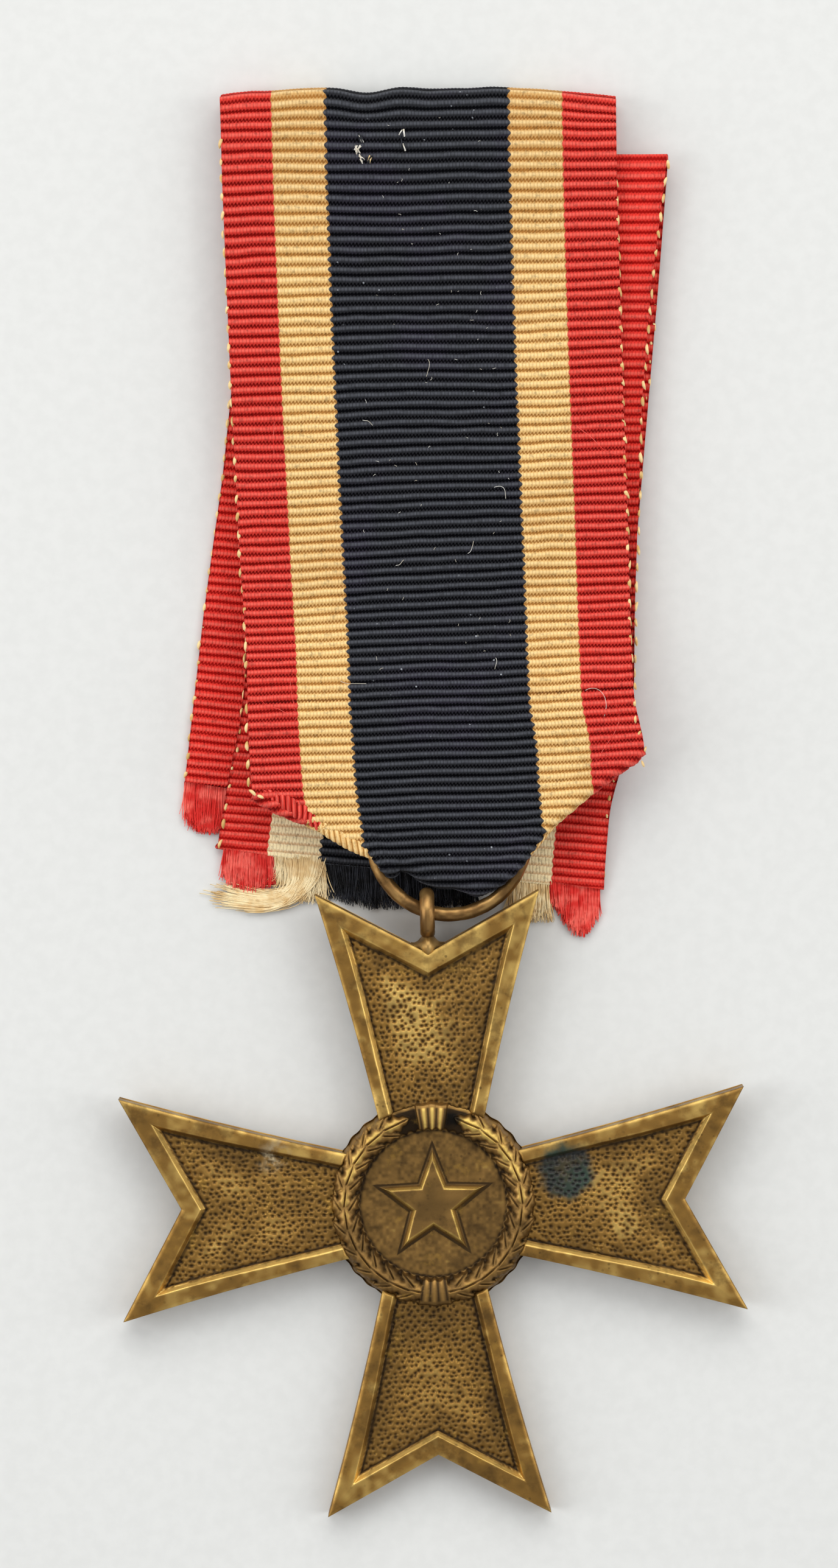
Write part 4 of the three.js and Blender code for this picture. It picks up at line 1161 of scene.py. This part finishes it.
def rolled_edge(name, centre, half, hue_u, mat, lay=0.62, ribs=0.5, zc=4.02, twist=0.75):
    """A selvedge rolled over on itself: a tapered, flattened roll with slanting ribs."""
    centre = np.asarray(centre, float)
    seg = np.r_[0, np.cumsum(np.hypot(*np.diff(centre, axis=0).T))]
    n = max(12, int(seg[-1] / 0.07))
    s = np.linspace(0, seg[-1], n)
    cx, cy = np.interp(s, seg, centre[:, 0]), np.interp(s, seg, centre[:, 1])
    for _ in range(6):
        cx[1:-1], cy[1:-1] = (cx[:-2] + cx[1:-1] * 2 + cx[2:]) / 4, (cy[:-2] + cy[1:-1] * 2 + cy[2:]) / 4
    hw = np.interp(s, seg, half)
    tx, ty = np.gradient(cx), np.gradient(cy)
    ln = np.hypot(tx, ty)
    tx, ty = tx / ln, ty / ln
    nx, ny = -ty, tx
    m = 36
    b = np.linspace(0, 2 * np.pi, m, endpoint=False)
    S, B = np.meshgrid(s, b, indexing="ij")
    ph = S / ribs + twist * np.cos(B)
    fr = ph - np.round(ph)
    crest = np.sqrt(np.clip(np.cos(np.pi * fr), 0, 1))
    r = hw[:, None] * (0.82 + 0.18 * crest * np.minimum(1, hw[:, None] / 0.4)) * (1 + 0.05 * value_noise(91, S, B, 0.9))
    off = r * np.cos(B)
    X = cx[:, None] + nx[:, None] * off
    Y = cy[:, None] + ny[:, None] * off
    Z = zc + lay * r * np.sin(B)
    u = np.interp(S, seg, hue_u)
    uv = np.stack([u + 0.004 * np.cos(B), ph / 100 + 0.5], -1)
    base = n * m
    return make_mesh(name, np.stack([X, Y, Z], -1).reshape(-1, 3), grid_quads(n, m, 0, flip=False, wrap_cols=True), [list(range(m)), list(range(base - m, base))[::-1]], uv=uv.reshape(-1, 2), mat=mat)


roll = rolled_edge("rolled_edge_left", [pt(417, 1298), pt(440, 1302), pt(468, 1318), pt(498, 1335), pt(519, 1352), pt(545, 1368), pt(575, 1384), pt(598, 1396), pt(612, 1408)],
                   [0.14, 0.36, 0.66, 0.66, 0.42, 0.52, 0.58, 0.52, 0.2], [0.05, 0.05, 0.06, 0.07, 0.11, 0.19, 0.2, 0.21, 0.22], CLOTH)
rollr = rolled_edge("rolled_edge_right", [pt(916, 1352), pt(902, 1364), pt(888, 1380), pt(872, 1398), pt(857, 1413), pt(846, 1424)], [0.05, 0.14, 0.2, 0.22, 0.18, 0.06], [0.8] * 6, CLOTH, zc=3.86, twist=-0.8)
for o in (roll, rollr):
    shift(o)
    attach(o, "loop")


def fray(name, groups, seed, sides=3):
    """Loose warp fibres. Each group is (n, root(a), length(a, r), spread, lean(a), sag, hue, radius, z0, z1); sag is
    not used.
    """
    g = np.random.default_rng(seed)
    lines, radii, hues = [], [], []
    for grp in groups:
        for i in range(grp["n"]):
            a = g.uniform(0, 1)
            x0, y0 = grp["root"](a)
            x0 += g.normal(0, 0.03)
            L = grp["length"](a) * g.uniform(*grp.get("vary", (0.82, 1.0)))
            tilt = grp["lean"](a) + g.normal(0, grp["spread"])
            curl = g.normal(0, grp.get("curl", 0.12)) + grp.get("bend", lambda q: 0.0)(a)
            n = grp.get("seg", 9)
            t = np.linspace(0, 1, n)
            ang = -math.pi / 2 + tilt + curl * t * t
            step = L / (n - 1)
            xs = x0 + np.r_[0, np.cumsum(np.cos(ang[1:]) * step)]
            yy = y0 + np.r_[0, np.cumsum(np.sin(ang[1:]) * step)]
            zl = g.uniform(0, 1)
            zs = grp["z0"] + (grp["z1"] - grp["z0"]) * zl + (grp.get("ztip", grp["z0"]) - grp["z0"]) * t + 0.03 * np.sin(t * 5 + g.uniform(0, 6))
            lines.append(np.stack([xs, yy, np.maximum(zs, 0.07)], -1))
            radii.append(grp["radius"] * g.uniform(0.7, 1.15) * (1 - 0.45 * t ** 2))
            hues.append(grp["hue"])
    return tubes(name, lines, radii, FIBRE, sides=sides, attrs=hues)


def swept(n, ctrl, spread, seed, hue, radius):
    """Fibres following one curve, fanned more and more towards its end."""
    g = np.random.default_rng(seed)
    ctrl = np.array(ctrl, float)
    out = []
    m = len(ctrl)
    for _ in range(n):
        off = g.normal(0, 1, 2)
        c = ctrl.copy()
        for k in range(m):
            c[k, :2] += off * np.array(spread[k]) + g.normal(0, 0.04 * (k > 0), 2)
        c[:, 2] += g.uniform(-0.08, 0.12)
        t = np.linspace(0, g.uniform(0.7, 1.0), 20) * (m - 1)
        i = np.clip(t.astype(int), 0, m - 2)
        f = (t - i)[:, None]
        p0, p1, p2, p3 = c[np.maximum(i - 1, 0)], c[i], c[i + 1], c[np.minimum(i + 2, m - 1)]
        L = 0.5 * ((2 * p1) + (p2 - p0) * f + (2 * p0 - 5 * p1 + 4 * p2 - p3) * f ** 2 + (3 * p1 - p0 - 3 * p2 + p3) * f ** 3)
        L[:, 2] = np.maximum(L[:, 2], 0.07)
        out.append((L, radius * g.uniform(0.7, 1.2), hue))
    return out


def between(p, q):
    return lambda a: (p[0] + (q[0] - p[0]) * a, p[1] + (q[1] - p[1]) * a)


of_ = fray("outer_fray", [
    dict(n=520, root=between(pt(303, 1284), pt(376, 1296)), length=lambda a: 3.9 - 1.0 * abs(2 * a - 1) ** 2.2, lean=lambda a: 0.10 * (a - 0.45) - 0.07, bend=lambda a: 0.28 * (0.5 - a) + 0.1, spread=0.05, hue=0, radius=0.055, z0=0.12, z1=0.42, ztip=0.08),
    dict(n=240, root=between(pt(376, 1292), pt(455, 1300)), length=lambda a: 2.6, lean=lambda a: 0.0, spread=0.06, hue=1, radius=0.05, z0=0.1, z1=0.36, ztip=0.06),
    dict(n=420, root=between(pt(455, 1300), pt(745, 1310)), length=lambda a: 2.6, lean=lambda a: 0.0, spread=0.06, hue=2, radius=0.055, z0=0.1, z1=0.36, ztip=0.06),
    dict(n=150, root=between(pt(745, 1310), pt(850, 1314)), length=lambda a: 2.5, lean=lambda a: 0.0, spread=0.06, hue=1, radius=0.05, z0=0.1, z1=0.36, ztip=0.06),
    dict(n=170, root=between(pt(850, 1314), pt(938, 1318)), length=lambda a: 2.5, lean=lambda a: 0.0, spread=0.05, hue=0, radius=0.055, z0=0.1, z1=0.36, ztip=0.06),
], 301)
if_ = fray("inner_fray", [
    dict(n=620, root=between(pt(368, 1382), pt(446, 1398)), length=lambda a: 3.75 - 0.9 * abs(2 * a - 1) ** 2.2 - 0.2 * a, lean=lambda a: -0.14 + 0.2 * a, bend=lambda a: 0.25 * (0.45 - a), spread=0.05, hue=0, radius=0.055, z0=0.28, z1=0.62, ztip=0.12),
    dict(n=500, root=between(pt(448, 1396), pt(532, 1416)), length=lambda a: 3.7 - 0.9 * abs(2 * a - 1.2) ** 2, lean=lambda a: 0.06 + 0.1 * a, bend=lambda a: -0.35, spread=0.09, curl=0.3, hue=1, radius=0.052, z0=0.28, z1=0.62, ztip=0.1),
    dict(n=620, root=between(pt(532, 1410), pt(780, 1440)), length=lambda a: 3.7 - 1.6 * abs(a - 0.3), lean=lambda a: 0.04, spread=0.08, curl=0.25, hue=2, radius=0.056, z0=0.24, z1=0.56, ztip=0.1),
    dict(n=330, root=between(pt(840, 1436), pt(903, 1452)), length=lambda a: 3.9 - 0.8 * a, lean=lambda a: -0.1 + 0.12 * a, spread=0.06, curl=0.2, hue=1, radius=0.052, z0=0.26, z1=0.58, ztip=0.1),
    dict(n=640, root=between(pt(904, 1448), pt(986, 1462)), length=lambda a: float(np.interp(a, [0, 0.3, 0.6, 0.8, 1], [1.7, 3.1, 4.1, 3.5, 2.2])), lean=lambda a: 0.06 * (0.6 - a), bend=lambda a: 0.12 * (0.55 - a), spread=0.035, hue=0, radius=0.072, z0=0.26, z1=0.62, ztip=0.1),
], 302)
sw = swept(230, [(*pt(503, 1410), 0.55), (*pt(498, 1446), 0.5), (*pt(478, 1470), 0.42), (*pt(440, 1481), 0.34), (*pt(400, 1478), 0.28), (*pt(356, 1470), 0.2)],
           [(0.65, 0.1), (0.5, 0.12), (0.4, 0.28), (0.3, 0.34), (0.35, 0.4), (0.6, 0.5)], 31, 1, 0.036)
sweep = tubes("swept_fray", [s_[0] for s_ in sw], [s_[1] for s_ in sw], FIBRE, sides=4, attrs=[s_[2] for s_ in sw])
shift(sweep)
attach(sweep, "ribbon")
for o, node in ((of_, "outer_tail_fringe"), (if_, "inner_tail_fringe")):
    shift(o)
    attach(o, "ribbon")
    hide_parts(node)


def hair(x0, y0, z, length, ang, curl, n=22, wob=0.25, seed=0, lift=0.25):
    g = np.random.default_rng(seed)
    t = np.linspace(0, 1, n)
    a = ang + curl * t + wob * np.sin(t * g.uniform(4, 9) + g.uniform(0, 6))
    step = length / (n - 1)
    xs = x0 + np.r_[0, np.cumsum(np.cos(a[1:]) * step)]
    yy = y0 + np.r_[0, np.cumsum(np.sin(a[1:]) * step)]
    return np.stack([xs, yy, z + lift * np.sin(np.pi * t) ** 0.8], -1)


def stitches(name, tufts, seed):
    g = np.random.default_rng(seed)
    lines, radii, hues = [], [], []
    for px, py, dx, dy, n, hue in tufts:
        x, y = pt(px, py)
        for i in range(n):
            L = g.uniform(0.35, 0.62)
            a = math.atan2(dy, dx) + g.normal(0, 0.4)
            c = (x + g.normal(0, 0.07), y + g.normal(0, 0.09))
            t = np.linspace(-1, 1, 8)
            lines.append(np.stack([c[0] + math.cos(a) * t * L / 2, c[1] + math.sin(a) * t * L / 2, Z_FRONT + 0.28 + 0.22 * (1 - t * t) + g.uniform(-0.05, 0.05)], -1))
            radii.append(g.uniform(0.045, 0.075))
            hues.append(hue if g.uniform() < 0.75 else 2)
    return tubes(name, lines, radii, FIBRE, sides=5, attrs=hues)


sl = stitches("stitch_ends_left", [(592, 229, 0.4, -1, 6, 3), (587, 246, 0.1, -1, 7, 3), (593, 262, 0.8, -0.6, 5, 3), (607, 264, 0.5, 0.8, 6, 1)], 401)
sr = stitches("stitch_ends_right", [(661, 221, 0.1, 1, 4, 3), (662, 243, 0.1, 1, 3, 3)], 402)
for o, node in ((sl, "stitch_thread_left"), (sr, "stitch_thread_right")):
    shift(o)
    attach(o, "ribbon")
    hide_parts(node)

# loose hairs and lint lying on the cloth
H = []
for i, (px, py, ln, ang, curl, hue) in enumerate((
        (478, 1120, 5.6, -1.3, -0.8, 0), (540, 1290, 2.4, 2.2, 1.6, 3), (960, 1135, 3.4, 0.5, -2.6, 3), (1005, 1150, 5.4, -1.2, -1.2, 0), (560, 1120, 2.0, -0.6, 0.8, 3),
        (430, 1150, 2.6, -0.7, 0.5, 0), (375, 1195, 4.8, -1.35, 0.35, 0), (700, 620, 1.4, 0.9, 1.2, 3), (830, 820, 1.6, 1.2, 2.2, 3), (768, 910, 1.1, 0.4, 1.4, 3), (612, 700, 0.9, 2.4, 0.5, 3),
        (650, 930, 0.8, 0.2, 0.9, 3), (720, 1240, 0.9, -0.3, 0.6, 3), (812, 1100, 0.9, 1.1, 0.8, 3), (740, 1420, 1.0, -0.9, 1.0, 3), (945, 700, 4.4, -1.0, 0.8, 0), (450, 690, 3.0, -1.2, -0.7, 0), (905, 1240, 2.0, -1.0, 0.6, 1))):
    x, y = pt(px, py)
    if y > SEAM_Y + 0.5 or y > 6:
        z0 = float(climb(max(y, SEAM_Y))) + 0.33
        H.append((hair(x, y, z0, ln, ang, curl, seed=500 + i, lift=0.12), 0.017, hue))
g = np.random.default_rng(77)
for i in range(70):
    x, y = g.uniform(-5.4, 6.2), g.uniform(9.5, 53)
    z0 = float(climb(y)) + 0.3
    H.append((hair(x, y, z0, g.uniform(0.1, 0.36), g.uniform(0, 6.28), g.normal(0, 1.5), n=7, seed=600 + i, lift=0.03), 0.013, 3))
hairs = tubes("lint", [h[0] for h in H], [h[1] for h in H], FIBRE, sides=4, attrs=[h[2] for h in H])
shift(hairs)
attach(hairs, "ribbon")

# ------------------------------------------------------------------ floor, end
def floor_material():
    t = Tree("floor")
    obj = t.coord("Object")
    n = t.noise(900, 3, vec=obj)
    t.set(Base_Color=t.mix(t.range(n, 0.3, 0.7), (0.685, 0.687, 0.667), (0.71, 0.712, 0.692)), Roughness=0.85)
    t.b.inputs["Specular IOR Level"].default_value = 0.2
    return t.mat


fl = make_mesh("floor", [(-900, -900, -0.02), (900, -900, -0.02), (900, 900, -0.02), (-900, 900, -0.02)], [(0, 1, 2, 3)], mat=floor_material())
